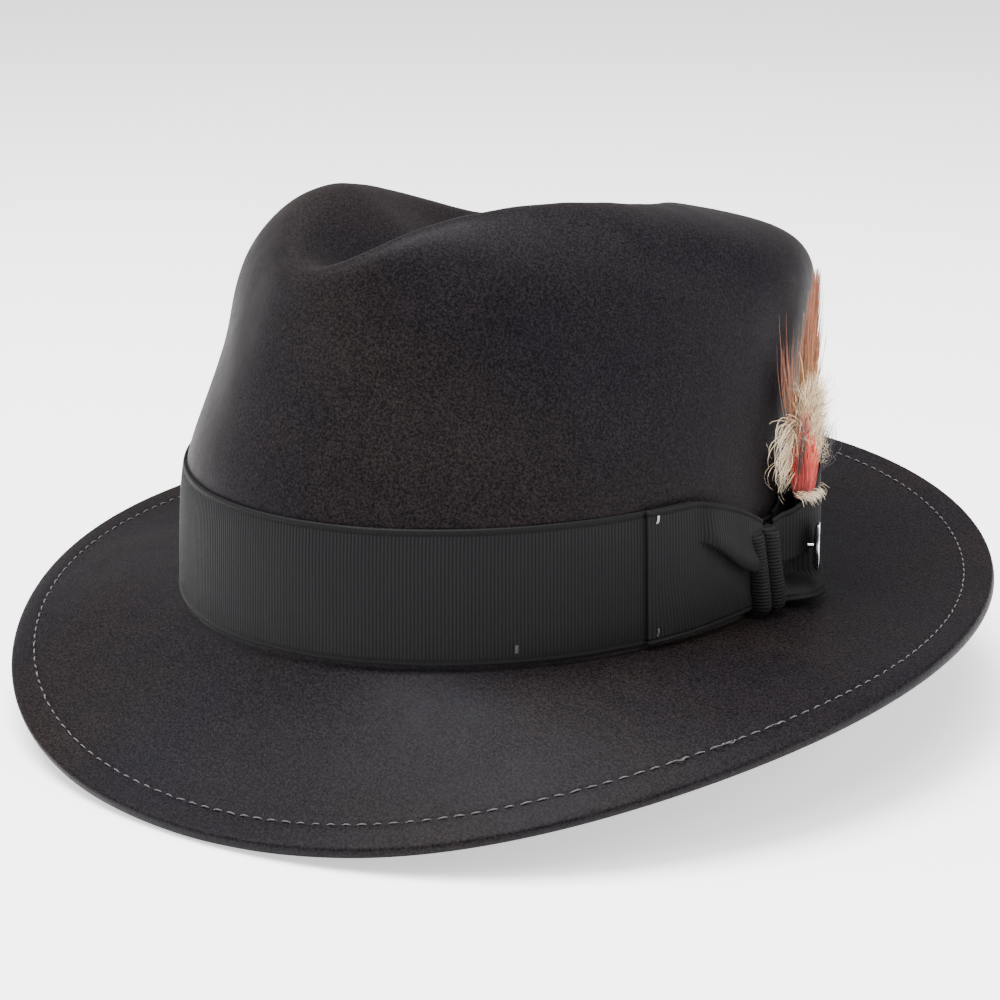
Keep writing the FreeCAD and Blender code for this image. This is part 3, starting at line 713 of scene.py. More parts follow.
def build_band():
    zs0, zs1 = RIBBON_LOW, RIBBON_LOW + RIBBON_WIDTH
    mid = lambda t: wall(t, 20.0, 0.7)
    _, length = arc_params(mid, 8)
    count = int(round(length / RIB))
    per = 5
    cols = count * per
    ts, _ = arc_params(mid, cols)
    ph = np.arange(cols) / per
    rib = rib_wave(ph)
    z = np.array([zs0, zs0 + 0.35, zs0 + 0.9, zs0 + 1.5, zs0 + 2.0, zs0 + 9, zs0 + 19, zs0 + 29, zs1 - 2.0,
                  zs1 - 1.5, zs1 - 0.9, zs1 - 0.35, zs1])
    # relief: bound edges are smoother and stand a little proud, with a groove inside them
    amp = np.array([0.03, 0.05, 0.06, 0.05, 0.17, 0.17, 0.17, 0.17, 0.17, 0.05, 0.06, 0.05, 0.03])
    base = np.array([0.52, 0.66, 0.68, 0.46, 0.52, 0.52, 0.52, 0.52, 0.52, 0.46, 0.68, 0.66, 0.52])
    T, Z = np.meshgrid(ts, z)
    flare = 0.28 * np.exp(-((Z - zs0) / 2.2))
    soft = 0.10 * np.sin(7 * T + 1.0) * np.sin(PI * (Z - zs0) / RIBBON_WIDTH) + 0.05 * np.sin(23 * T)
    off = 0.20 + base[:, None] + amp[:, None] * rib[None] + flare + np.maximum(soft, 0)
    wob = 0.10 * np.sin(5 * T) + 0.07 * np.sin(17 * T + 2)
    Zw = Z + wob * (1 - 2 * (Z - zs0) / RIBBON_WIDTH) * 0.6
    outer = wall(T, zs0 + (Zw - zs0) * (1 - band_dip(T) / RIBBON_WIDTH), off)
    # Painted shade and highlight for the band's colour: darker in the rib grooves and lighter on the crests, a
    # flat middle tone on the bound edges, and painted shade in the groove inside each edge (rows 3 and 9).
    band_rib_shade = np.broadcast_to(rib[None], Z.shape).copy()
    band_rib_shade = 0.25 + 0.75 * band_rib_shade
    band_rib_shade[[0, 1, 2, 10, 11, 12]] = 0.62
    band_rib_shade[[3, 9]] = 0.12
    ti = ts[::5]
    Ti, Zi = np.meshgrid(ti, z[[0, 5, 7, 12]])
    inner = wall(Ti, zs0 + (Zi - zs0) * (1 - band_dip(Ti) / RIBBON_WIDTH),
                 0.12 + 0.26 * np.exp(-((Zi - zs0) / 2.2)))
    no, ni = outer.shape[1], inner.shape[1]
    V = np.concatenate([outer.reshape(-1, 3), inner.reshape(-1, 3)])
    F = [tuple(f) for f in grid_faces(len(z), no, wrap_c=True)]
    b0 = len(z) * no
    F += [tuple(f) for f in grid_faces(4, ni, wrap_c=True, base=b0, flip=True)]
    for row_o, row_i, rev in ((0, 0, False), (len(z) - 1, 3, True)):
        for i in range(ni):
            o = [row_o * no + (i * 5 + k) % no for k in range(6)]
            q = [b0 + row_i * ni + (i + 1) % ni, b0 + row_i * ni + i]
            f = tuple(o + q)
            F.append(f if rev else f[::-1])
    ob = make("hatband", V, F, RIBBON_M, "hat")
    add_attr(ob, "rib", np.concatenate([band_rib_shade.reshape(-1), np.full(4 * ni, 0.5)]))
    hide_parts("hatband_ribbon")


# -------------------------------------------------------------------- the bow
def normals_of(G):
    du = np.gradient(G, axis=1)
    dv = np.gradient(G, axis=0)
    n = np.cross(du, dv)
    return n / np.maximum(np.linalg.norm(n, axis=-1, keepdims=True), 1e-9)


def soften(A, axis, sigma):
    """Gaussian smoothing along one axis with the ends held."""
    r = int(3 * sigma + 1)
    k = np.exp(-0.5 * (np.arange(-r, r + 1) / sigma) ** 2)
    k /= k.sum()
    A = np.moveaxis(A, axis, 0)
    first, last = A[:1], A[-1:]
    pad = np.concatenate([2 * first - A[r:0:-1], A, 2 * last - A[-2:-r - 2:-1]])
    out = sum(k[i] * pad[i:i + len(A)] for i in range(2 * r + 1))
    return np.moveaxis(out, 0, axis)


def front_top(f):
    return 39.9 - 10.5 * np.clip((f - 0.35) / 0.65, 0, 1) ** 1.6


def ribbed(name, G, arc, thick=0.3, amp=0.15, edge=1.5):
    """Closed ribbon from its middle surface G (rows across the width, columns along it)."""
    N = normals_of(G)
    s = np.linspace(0, RIBBON_WIDTH, G.shape[0])
    e = np.minimum(s, RIBBON_WIDTH - s)
    body = smooth01((e - edge) / 0.25)
    lip = np.exp(-((e - 0.62) / 0.5) ** 2) * 0.16
    groove = -0.14 * np.exp(-((e - edge) / 0.22) ** 2)
    w = rib_wave(arc / RIB)
    rows = body[:, None] * amp * w[None] + (lip + groove)[:, None]
    rows = rows + 0.03 * (1 - body)[:, None] * np.sin(2 * PI * arc / 0.55)[None]
    taper = smooth01(e / 0.35)[:, None]
    hi = G + N * ((thick * (0.25 + 0.75 * taper) + rows * taper)[..., None])
    lo = G - N * ((thick * 0.8 * (0.25 + 0.75 * taper) + 0.6 * body[:, None] * amp * w[None])[..., None])
    V, F = closed_sheet(lo, hi)
    ob = make(name, V, F, RIBBON_M, "hat")
    # Painted shade and highlight for the ribbon's colour: darker in the rib grooves, lighter on the crests, and
    # painted shade in the groove along each bound edge.
    rib_shade = 0.25 + 0.75 * w[None] * body[:, None] + 0.45 * (1 - body)[:, None]
    rib_shade = rib_shade * (1 - 0.75 * np.exp(-((e - edge) / 0.25) ** 2))[:, None]
    rib_shade = np.clip(rib_shade, 0, 1)
    add_attr(ob, "rib", np.concatenate([rib_shade.reshape(-1), rib_shade.reshape(-1)]))
    return ob


def path_resample(P, step):
    """Columns of G (axis 1) spaced evenly along the mean line."""
    mid = P[P.shape[0] // 2]
    s = np.concatenate([[0], np.cumsum(np.linalg.norm(np.diff(mid, axis=0), axis=1))])
    n = int(round(s[-1] / step))
    q = np.linspace(0, s[-1], n + 1)
    out = np.empty((P.shape[0], n + 1, 3))
    for r in range(P.shape[0]):
        for c in range(3):
            out[r, :, c] = np.interp(q, s, P[r, :, c])
    return out, q


def pleat(s, low, top, crease, fold):
    """Ribbon that rises from low, doubles back below the crease and goes on to top.
    Gives the run, the height, 0 under and 1 over the fold, the run to it, and the whole run."""
    under = crease - low + fold
    total = under + fold + top - crease
    q = s / RIBBON_WIDTH * total
    doubled = q < under + fold
    z = np.where(q < under, low + q,
                 np.where(doubled, low + under - (q - under), crease + (q - under - fold)))
    lay = np.where(q < under, 0.0, np.where(doubled, (q - under) / max(fold, 0.01), 1.0))
    return q, z, lay, under, total


def build_front_loop():
    # along the ribbon: a hidden under layer, the folded left end, then the face
    under = [(BOW_START + 9 - 8.7 * k, 1.05, 0.0) for k in np.linspace(0, 1, 8)]
    turn_ = [(BOW_START + 0.36 - 0.36 * math.sin(a), 1.50 - 0.45 * math.cos(a), 0.0)
             for a in np.linspace(0.3, PI - 0.3, 6)]
    span = KNOT_START + 1.8 - BOW_START
    face = [(BOW_START + 0.36 + (span - 0.36) * k, 1.95 + 0.5 * k, k) for k in np.linspace(0, 1, 60)]
    cols = under + turn_ + face
    m = 150
    s = np.linspace(0, RIBBON_WIDTH, m + 1)
    G = np.empty((m + 1, len(cols), 3))
    for i, (t, off, f) in enumerate(cols):
        low = BOW_LOW + 1.2 * f - 0.5
        top = front_top(np.array(f))
        H = top - low
        fold = max((RIBBON_WIDTH - H) / 2, 2.6 * float(smooth01((f - 0.36) / 0.16)))
        g = smooth01(fold / 3.0)
        crease = low + H * (0.70 - 0.29 * smooth01((f - 0.33) / 0.60))
        q, z, lay, s1, total = pleat(s, low, top, crease, fold)
        belly = np.exp(-((q - s1 - fold - 3.0) / 3.6) ** 2) * (q > s1)
        soft = 1.9 * g * lay + 1.15 * g * belly
        hollow = -0.35 * g * np.exp(-((q - s1 + 2 * fold) / 4.0) ** 2)
        o = off + soft + hollow + 0.5 * math.sin(PI * min(f, 1.0)) * np.sin(PI * q / total)
        z = soften(z, 0, 2.2)
        o = soften(o, 0, 2.6)
        lean = 2.1 * math.sin(PI * min(f, 1.0) ** 0.8) * np.clip(1 - q / 17.0, 0, 1)
        G[:, i] = wall(np.radians(t + lean), z, o)
    G = soften(G, 1, 0.8)
    G, arc = path_resample(G, RIB / 5)
    ob = ribbed("bow_front", G, arc)
    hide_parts("bow_front_loop", "bow_front_fold")


def rear_stations(n, lead):
    """Angle, stand-off low and high and top edge along the rear loop; it starts under the knot."""
    x = np.linspace(0, 1, n)
    y = 2 * x
    angle = LOOP_START + (LOOP_END - LOOP_START) * np.sin(PI * x)
    lift = LOOP_BACK + (LOOP_ROOT - LOOP_BACK) * (1 - smooth01(y))
    bulge = np.where(y < 1.2, np.sin(PI * np.clip(y / 1.2, 0, 1) ** 0.55) ** 2, 0.0)
    top = LOOP_TOP[0] + (LOOP_TOP[1] - LOOP_TOP[0]) * smooth01((angle - LOOP_START) / LOOP_RISE)
    main = np.column_stack([angle, lift + LOOP_BELLY * bulge, lift + LOOP_CHEST * bulge, top])
    f = np.linspace(0, 1, lead, endpoint=False)[:, None]
    start = np.array([[LOOP_START - 2.8, LOOP_ROOT - 1.2, LOOP_ROOT - 0.6, LOOP_TOP[0] - 0.8]])
    return np.concatenate([start + (main[:1] - start) * f, main])


def build_rear_loop():
    m = 150
    main, lead = 150, 12
    key = rear_stations(main, lead)
    s = np.linspace(0, RIBBON_WIDTH, m + 1)
    G = np.empty((m + 1, len(key), 3))
    front_n = lead + main * 0.36     # stations in the layer that faces out
    for i, (t, lo, hi, top) in enumerate(key):
        f = i / front_n
        low = 1.2
        H = top - low
        fold = max((RIBBON_WIDTH - H) / 2, 0.0) * (1 if f < 1.6 else 0)
        g = smooth01(fold / 2.4) * smooth01((1.05 - f) / 0.45)
        crease = low + H * (0.46 - 0.08 * min(f, 1))
        fold = fold if g > 0 else 0.0
        _, z, lay, _, _ = pleat(s, low, top, crease, fold)
        w = np.exp(-np.maximum(z - 1.0, 0) / LOOP_FLARE)
        full = hi + (lo - hi) * w
        deep = np.clip((z - 2.5) / 5.5, 0, 1)
        recess = full + (2.3 - full) * smooth01(deep) * g
        o = recess * (1 - lay) + full * lay
        z = soften(z, 0, 2.2)
        o = soften(o, 0, 2.6)
        G[:, i] = wall(np.full(m + 1, math.radians(t)), z, o)
    G = soften(G, 1, 1.2)
    G, arc = path_resample(G, RIB / 5)
    ob = ribbed("bow_rear", G, arc, thick=0.26)
    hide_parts("bow_rear_loop")


def build_knot():
    # section of the wrap: two soft pleats with a deep groove between them
    sec = []
    for cu, cw, h0, h, a0, a1, n in ((0.235, 0.255, 2.2, 3.9, 205, 22, 40),
                                     (0.73, 0.285, 2.4, 5.0, 158, -28, 44)):
        for a in np.radians(np.linspace(a0, a1, n)):
            c, sn = math.cos(a), math.sin(a)
            lift = h * sn ** 0.8 if sn > 0 else 1.6 * sn
            sec.append((cu + cw * np.sign(c) * abs(c) ** 0.85, h0 + lift))
    sec = np.array(sec)
    sec = soften(sec, 0, 1.0)
    n_rib = 25
    per = 6
    m = n_rib * per
    zz = np.linspace(0, 1, m + 1)
    G = np.empty((m + 1, len(sec), 3))
    for j, b in enumerate(zz):
        end = (1 - abs(2 * b - 1) ** 14) ** 0.5
        waist = 1 - 0.06 * math.sin(PI * b) + 0.02 * math.sin(9 * b)
        t = KNOT_START - 1.5 + (KNOT_END - KNOT_START) * (0.5 + (sec[:, 0] - 0.5) * waist) + 2.6 * (1 - b)
        off = 0.95 + (sec[:, 1] - 0.75) * (0.35 + 0.65 * end)
        z = 0.9 + 25.4 * b + 0.45 * np.sin(PI * np.clip(sec[:, 0], 0, 1)) * (2 * b - 1)
        G[j] = wall(np.radians(t), z, off)
    w = rib_wave(np.arange(m + 1) / per)
    N = normals_of(G)
    hi = G + N * (0.26 * w)[:, None, None]
    lo = G - N * 0.45
    V, F = closed_sheet(lo, hi)
    ob = make("bow_knot_wrap", V, F, RIBBON_M, "hat")
    # Painted shade deep in the rib grooves and a painted highlight on the crests of the wrap.
    rib_shade = np.broadcast_to((0.05 + 0.95 * w)[:, None], G.shape[:2]).reshape(-1)
    add_attr(ob, "rib", np.concatenate([rib_shade, rib_shade]))
    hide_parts("bow_knot")


def build_tacks():
    heap = Heap()
    for a in (-48, 44, -134, 134):
        t = math.radians(a)
        for k in range(3):
            P = [wall(t + 0.0035 * (k - 1) + 0.0012 * q, 4.6 + 2.2 * q, 1.05 + 0.22 * math.sin(PI * q))
                 for q in np.linspace(0, 1, 6)]
            heap.line(P, 0.13, 6)
    ob = heap.build("band_tacks", TACK_M, "hat")
    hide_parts("hatband_tacks")
    heap = Heap()
    for which, z0 in enumerate((36.2, 4.0)):       # upper corner, lower corner
        for k in range(3 - which):
            P = [wall(math.radians(67.9 + 0.12 * k + 0.25 * q), z0 + 2.1 * q, 2.45 + 0.3 * math.sin(PI * q))
                 for q in np.linspace(0, 1, 7)]
            heap.line(P, 0.15, 6, which)
    ob = heap.build("bow_end_tacks", [LOOSE_M, TACK_M], "hat")
    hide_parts("bow_tacks")


def build_pin():
    """Blank oval pin: domed dark body under a thin bright face with a rolled rim."""
    turn_ = math.radians(PIN_TURN)
    n = np.array([math.cos(turn_), math.sin(turn_), 0])
    v = np.array([-math.sin(turn_), math.cos(turn_), 0])
    c = wall(math.radians(PIN_ANGLE), PIN_Z, PIN_OFF)

    def lathe(profile, sides=72):
        a = np.arange(sides) * 2 * PI / sides
        rows = []
        for k, h in profile:
            wide = np.outer(np.cos(a) * k * PIN_HALF_WIDTH, v)
            rows.append(c + n * h + wide + np.outer(np.sin(a) * k * PIN_HALF_HEIGHT, [0, 0, 1]))
        V = np.array(rows).reshape(-1, 3)
        F = [tuple(q) for q in grid_faces(len(profile), sides, wrap_c=True)]
        F += [tuple(range(sides))[::-1], tuple(range((len(profile) - 1) * sides, len(profile) * sides))]
        return V, F
    V, F = lathe([(0.30, 0.36), (0.55, 0.42), (0.78, 0.62), (0.92, 0.95), (0.985, 1.30), (1.0, 1.62)])
    body = make("pin_body", V, F, ENAMEL_M, "hat")
    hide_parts("pin_back")
    V, F = lathe([(0.97, 1.66), (1.0, 1.70), (1.015, 1.82), (1.005, 1.96), (0.98, 2.04), (0.95, 2.06),
                  (0.92, 2.02), (0.90, 1.94), (0.6, 1.98), (0.25, 2.03)])
    face = make("pin_rim_face", V, F, METAL_M, "hat")
    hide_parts("pin_face")
    for name in ("pin_post", "pin_clutch"):
        give(name, METAL_M)


# ---------------------------------------------------------------- the feather
FT = math.radians(FEATHER_ANGLE)
FOOT = wall(FT, *FEATHER_FOOT)
HEAD = wall(FT, *FEATHER_HEAD)
UP = (HEAD - FOOT) / np.linalg.norm(HEAD - FOOT)
OUTN = normal2(np.array([FT]))[0]
SIDE = np.cross(UP, OUTN)
SIDE /= np.linalg.norm(SIDE)
FACE = np.cross(SIDE, UP)


def frame_pt(a, s, f):
    """Feather frame: along the quill, sideways, and off the crown."""
    return FOOT + UP * a + SIDE * s + FACE * f


def barb(heap, start, d0, d1, length, width, n=8, along0=0.0, along1=1.0, curl=None):
    """One tapered strand from start, its direction turning from d0 to d1."""
    k = np.linspace(0, 1, n)
    d = np.array(d0)[None] * (1 - k)[:, None] ** 1.2 + np.array(d1)[None] * k[:, None]
    d = d / np.linalg.norm(d, axis=1, keepdims=True)
    if curl is not None:
        c, amp, freq = curl
        d = d + np.array(c)[None] * (amp * np.sin(freq * k))[:, None]
    step = length / (n - 1)
    q = np.concatenate([[[0, 0, 0]], np.cumsum(d[:-1] * step, axis=0)])
    P = np.array([frame_pt(start[0] + a, start[1] + s, start[2] + f) for a, s, f in q])
    r = width * np.clip((1 - 0.85 * k ** 1.5), 0.12, 1)
    heap.line(P, r, 4)
    al = np.repeat(along0 + (along1 - along0) * k, 4)
    heap.tone += [float(RNG.random())] * len(al)
    heap.along += al.tolist()


def strand_heap():
    h = Heap()
    h.tone, h.along = [], []
    return h


def finish_strands(h, name, mat, node_):
    ob = h.build(name, mat, "feather")
    add_attr(ob, "tone", h.tone)
    add_attr(ob, "along", h.along)
    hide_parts(node_)


def build_feather():
    r = RNG
    # rust hackle: long barbs drawn to a point, golden at the foot
    h = strand_heap()
    lean = 0.2               # the tip leans back, and a little off the crown
    off_lean = 0.02
    shaft = [frame_pt(44 + 40 * k, 40 * lean * k, 0.9 + 40 * off_lean * k) for k in np.linspace(0, 1, 16)]
    v, f = tube(shaft, 0.32 * (1 - 0.8 * np.linspace(0, 1, 16)), 6)
    h.add(v, f)
    h.tone += [0.6] * len(v)
    h.along += np.repeat(np.linspace(0.2, 1, 16), 6).tolist()
    for _ in range(430):
        k = r.random() ** 1.25
        a0 = 43 + 33 * k
        sgn = 1 if r.random() < 0.5 else -1
        env = 6.6 * (1 - k) ** 0.8 + 0.7
        spread = env * (0.12 + 0.88 * r.random())
        ln = (15 + 11 * r.random()) * (1 - 0.35 * k)
        ln = min(ln, 88.5 - a0 - 1.5 * r.random())
        ang = spread / ln
        d0 = (1.0, sgn * ang * 1.9 + lean, 0.06 * r.normal() * (1 - 0.7 * k) + off_lean)
        d1 = (1.0, sgn * ang * 0.12 - 0.03 * sgn + lean, 0.04 * r.normal() * (1 - 0.7 * k) + off_lean)
        rise = a0 - 43
        s0 = 0.5 * r.normal() + lean * rise
        barb(h, (a0, s0, 1.2 + off_lean * rise + 1.2 * r.normal() * (1 - 0.8 * k)), d0, d1, ln,
             0.13 + 0.07 * r.random(), n=9, along0=(a0 - 42) / 46, along1=min(1, (a0 + ln - 42) / 46))
    # loose single barbs standing off on the front side
    for _ in range(34):
        a0 = 36 + 14 * r.random()
        s0 = -2.0 - 7 * r.random()
        ln = 17 + 13 * r.random()
        d0 = (1.0, -0.35 - 0.25 * r.random(), 0.08 * r.normal())
        d1 = (1.0, 0.12 * r.normal() - 0.05, 0.05 * r.normal())
        barb(h, (a0, s0, 0.3 + 0.4 * r.normal()), d0, d1, ln, 0.10 + 0.03 * r.random(), n=10, along0=0.35,
             along1=0.95)
    for _ in range(7):
        barb(h, (44 + 6 * r.random(), 1.5 + r.random(), 1.0), (1.0, 0.35 + 0.2 * r.random(), 0.1),
             (1.0, -0.12, 0), 24 + 8 * r.random(), 0.09, n=10, along0=0.5, along1=1.0)
    finish_strands(h, "rust_hackle", RUST_M, "feather_rust_hackle")

    # tan down: soft, curling, fanned out all round
    h = strand_heap()
    for _ in range(1150):
        a0 = 35 + 16 * r.random() ** 1.05
        ang = 0.62 * r.normal() + (0.30 if a0 > 36 else 0.1)
        ln = 5.5 + 5.5 * r.random()
        s0 = 3.0 * r.normal() - 0.6
        f0 = 0.9 + 2.9 * r.random()
        outw = 0.25 + 0.6 * r.random()
        d0 = (math.cos(ang), math.sin(ang), outw * 0.7)
        b = ang + 0.7 * r.normal()
        d1 = (math.cos(b), math.sin(b) + 0.1, outw * 0.2 - 0.15)
        barb(h, (a0, s0, f0), d0, d1, ln, 0.07 + 0.05 * r.random(), n=8, along0=0.2,
             along1=0.7 + 0.3 * r.random(),
             curl=((0.2 * r.normal(), 0.7 * r.normal(), 0.6 * r.normal()), 0.75, 3 + 4 * r.random()))
    # short pale curls lying over it
    for _ in range(260):
        a0 = 33 + 18 * r.random()
        ang = 2.4 * (r.random() - 0.5)
        c = 1 if r.random() < 0.5 else -1
        d0 = (math.cos(ang), math.sin(ang), 0.5)
        d1 = (math.cos(ang + 2.2 * c), math.sin(ang + 2.2 * c), -0.1)
        barb(h, (a0, 2.2 * r.normal() + 0.8, 3.6 + 1.6 * r.random()), d0, d1, 4 + 3.5 * r.random(), 0.085,
             n=10, along0=0.6, along1=1.0)
    # pale curls to the rear side, and strands that arch over and hang down the front side
    for _ in range(150):
        a0 = 30 + 10 * r.random()
        ang = 0.8 + 0.5 * r.random()
        d0 = (math.cos(ang), math.sin(ang), 0.35)
        d1 = (math.cos(ang + 1.2 * r.random()), math.sin(ang + 0.9), 0.05 * r.normal())
        barb(h, (a0, 2.5 + 2.0 * r.random(), 2.0 + 2.3 * r.random()), d0, d1, 5 + 4 * r.random(), 0.09,
             n=9, along0=0.7, along1=1.0,
             curl=((0.7 * r.normal(), 0.4, 0.3 * r.normal()), 0.5, 4 + 3 * r.random()))
    for _ in range(170):
        a0 = 30 + 15 * r.random()
        s0 = -1.0 - 3.0 * r.random()
        ln = 9 + 12 * r.random()
        d0 = (0.4 + 0.4 * r.normal(), -1.5 - 0.6 * r.random(), -0.12)
        d1 = (-1.0, 0.5 * r.normal(), -0.02)
        barb(h, (a0, s0, 1.2 - 1.6 * r.random()), d0, d1, min(ln, a0 - 17.0), 0.075 + 0.04 * r.random(),
             n=12, along0=0.4, along1=1.0,
             curl=((0.4 * r.normal(), 0.9 * r.normal(), 0.35 * r.normal()), 0.7, 4 + 3 * r.random()))
    # fringe hanging over the edge of the bow
    for _ in range(200):
        s0 = -6.5 + 11.5 * r.random()
        d0 = (0.1 + 0.3 * r.normal(), 0.4 * r.normal(), 1.0)
        d1 = (-1.0, 0.5 * r.normal(), 0.45)
        barb(h, (23.5 + 1.8 * r.random(), s0 - 3.0, 1.5 + 4.0 * r.random()), d0, d1,
             2.6 + 2.8 * r.random(), 0.08, n=7, along0=0.7, along1=1.0,
             curl=((0, 0.6 * r.normal(), 0), 0.5, 4))
    # a few long threads
    for a0, s0, ln, dd in ((54, -3, 15, -0.5), (46, -6, 13, -1.2), (40, -7, 13, -1.5), (50, -4, 12, -0.9),
                           (34, -7.5, 12, -0.5)):
        barb(h, (a0, s0, 2.5), (0.8, dd, 0.1), (0.35, dd, 0), ln, 0.10, n=14, along0=0.6, along1=0.9,
             curl=((0.7, 0.0, 0.1), 0.35, 3.0))
    finish_strands(h, "tan_down", TAN_M, "feather_tan_down")

    # red tuft over the down
    h = strand_heap()
    for _ in range(420):
        s0 = -8.0 + 5.0 * r.random()
        a0 = 22.5 + 3.5 * r.random()
        ln = 9 + 9 * r.random()
        f0 = 1.2 + 4.0 * r.random()
        d0 = (1.0, 0.10 * r.normal(), (f0 - 3.2) / ln * 2.0 + 0.05 * r.normal())
        d1 = (1.0, 0.10 * r.normal(), (3.2 - f0) / ln * 0.8 + 0.12 * r.normal())
        barb(h, (a0, s0, f0), d0, d1, ln, 0.13 + 0.07 * r.random(), n=8, along0=0.0, along1=1.0)
    for _ in range(70):
        # red threads showing through higher up
        barb(h, (36 + 8 * r.random(), -5.5 + 1.5 * r.normal(), 2.2 + 2.6 * r.random()),
             (1.0, 0.3 * r.normal(), 0.2), (1.0, 0.1 * r.normal(), -0.1),
             4 + 4 * r.random(), 0.11, n=6, along0=0.5, along1=1.0)
    finish_strands(h, "red_tuft", RED_M, "feather_red_tuft")

    # wiry dark barbs behind the tuft
    h = strand_heap()
    for _ in range(34):
        a0 = 27 + 8 * r.random()
        s0 = 4.2 + 2.6 * r.random()
        barb(h, (a0, s0, 3.2 + 1.8 * r.random()), (1.0, 0.5 * r.normal() + 0.3, 0.35),
             (0.4, 0.9 * r.normal(), 0.1), 8 + 7 * r.random(), 0.12, n=12,
             curl=((0.5 * r.normal(), 0.9 * r.normal(), 0.4 * r.normal()), 0.9, 5 + 3 * r.random()))
    for _ in range(14):
        barb(h, (29 + 5 * r.random(), -6 - 3.5 * r.random(), 2.6 + 1.5 * r.random()), (1.0, -0.25, 0.1),
             (1.0, 0.3 * r.normal(), 0.0), 14 + 10 * r.random(), 0.09, n=10,
             curl=((0.1, 0.4 * r.normal(), 0.2), 0.4, 4))
    finish_strands(h, "dark_wisps", DARK_M, "feather_dark_wisps")

    # quill with its bound foot
    P = [frame_pt(14 + 32 * k, 0.15 * math.sin(3 * k), 0.0) for k in np.linspace(0, 1, 20)]
    heap = Heap()
    heap.line(P, 0.50 * (1 - 0.25 * np.linspace(0, 1, 20)), 10)
    ob = heap.build("quill", QUILL_M, "feather")
    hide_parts("feather_quill")
    ang = np.linspace(0, 2 * PI * 22, 440)
    P = [frame_pt(15.2 + 8.4 * a / ang[-1], 0.68 * math.cos(a), 0.68 * math.sin(a)) for a in ang]
    heap = Heap()
    heap.line(P, 0.20, 5)
    ob = heap.build("quill_whipping", TACK_M, "feather")
    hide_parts("feather_binding")


# ----------------------------------------------------------------- the inside
def band_inside(name, z, out_off, in_off, mat, node_, relief, nt=720, rest=None):
    """Closed strip round the inside of the crown; relief(T, Z) adds to the inner face."""
    t = np.arange(nt) * 2 * PI / nt
    T, Z = np.meshgrid(t, z)
    inner = wall(T, Z, in_off - relief(T, Z))
    outer = wall(T, Z, np.full(T.shape, out_off) - 0.35 * relief(T, Z))
    nz = len(z)
    V = np.concatenate([outer.reshape(-1, 3), inner.reshape(-1, 3)])
    F = [tuple(q) for q in grid_faces(nz, nt, wrap_c=True)]
    F += [tuple(q) for q in grid_faces(nz, nt, wrap_c=True, base=nz * nt, flip=True)]
    for row, rev in ((0, True), (nz - 1, False)):
        for i in range(nt):
            a, b = row * nt + i, row * nt + (i + 1) % nt
            f = (a, b, nz * nt + b, nz * nt + a)
            F.append(f[::-1] if rev else f)
    ob = make(name, V, F, mat, "hat")
    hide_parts(*node_)
    if rest:
        mid = wall(t, 20.0 + 0 * t, in_off)
        length = float(np.linalg.norm(np.roll(mid, -1, 0) - mid, axis=1).sum()) / 1000


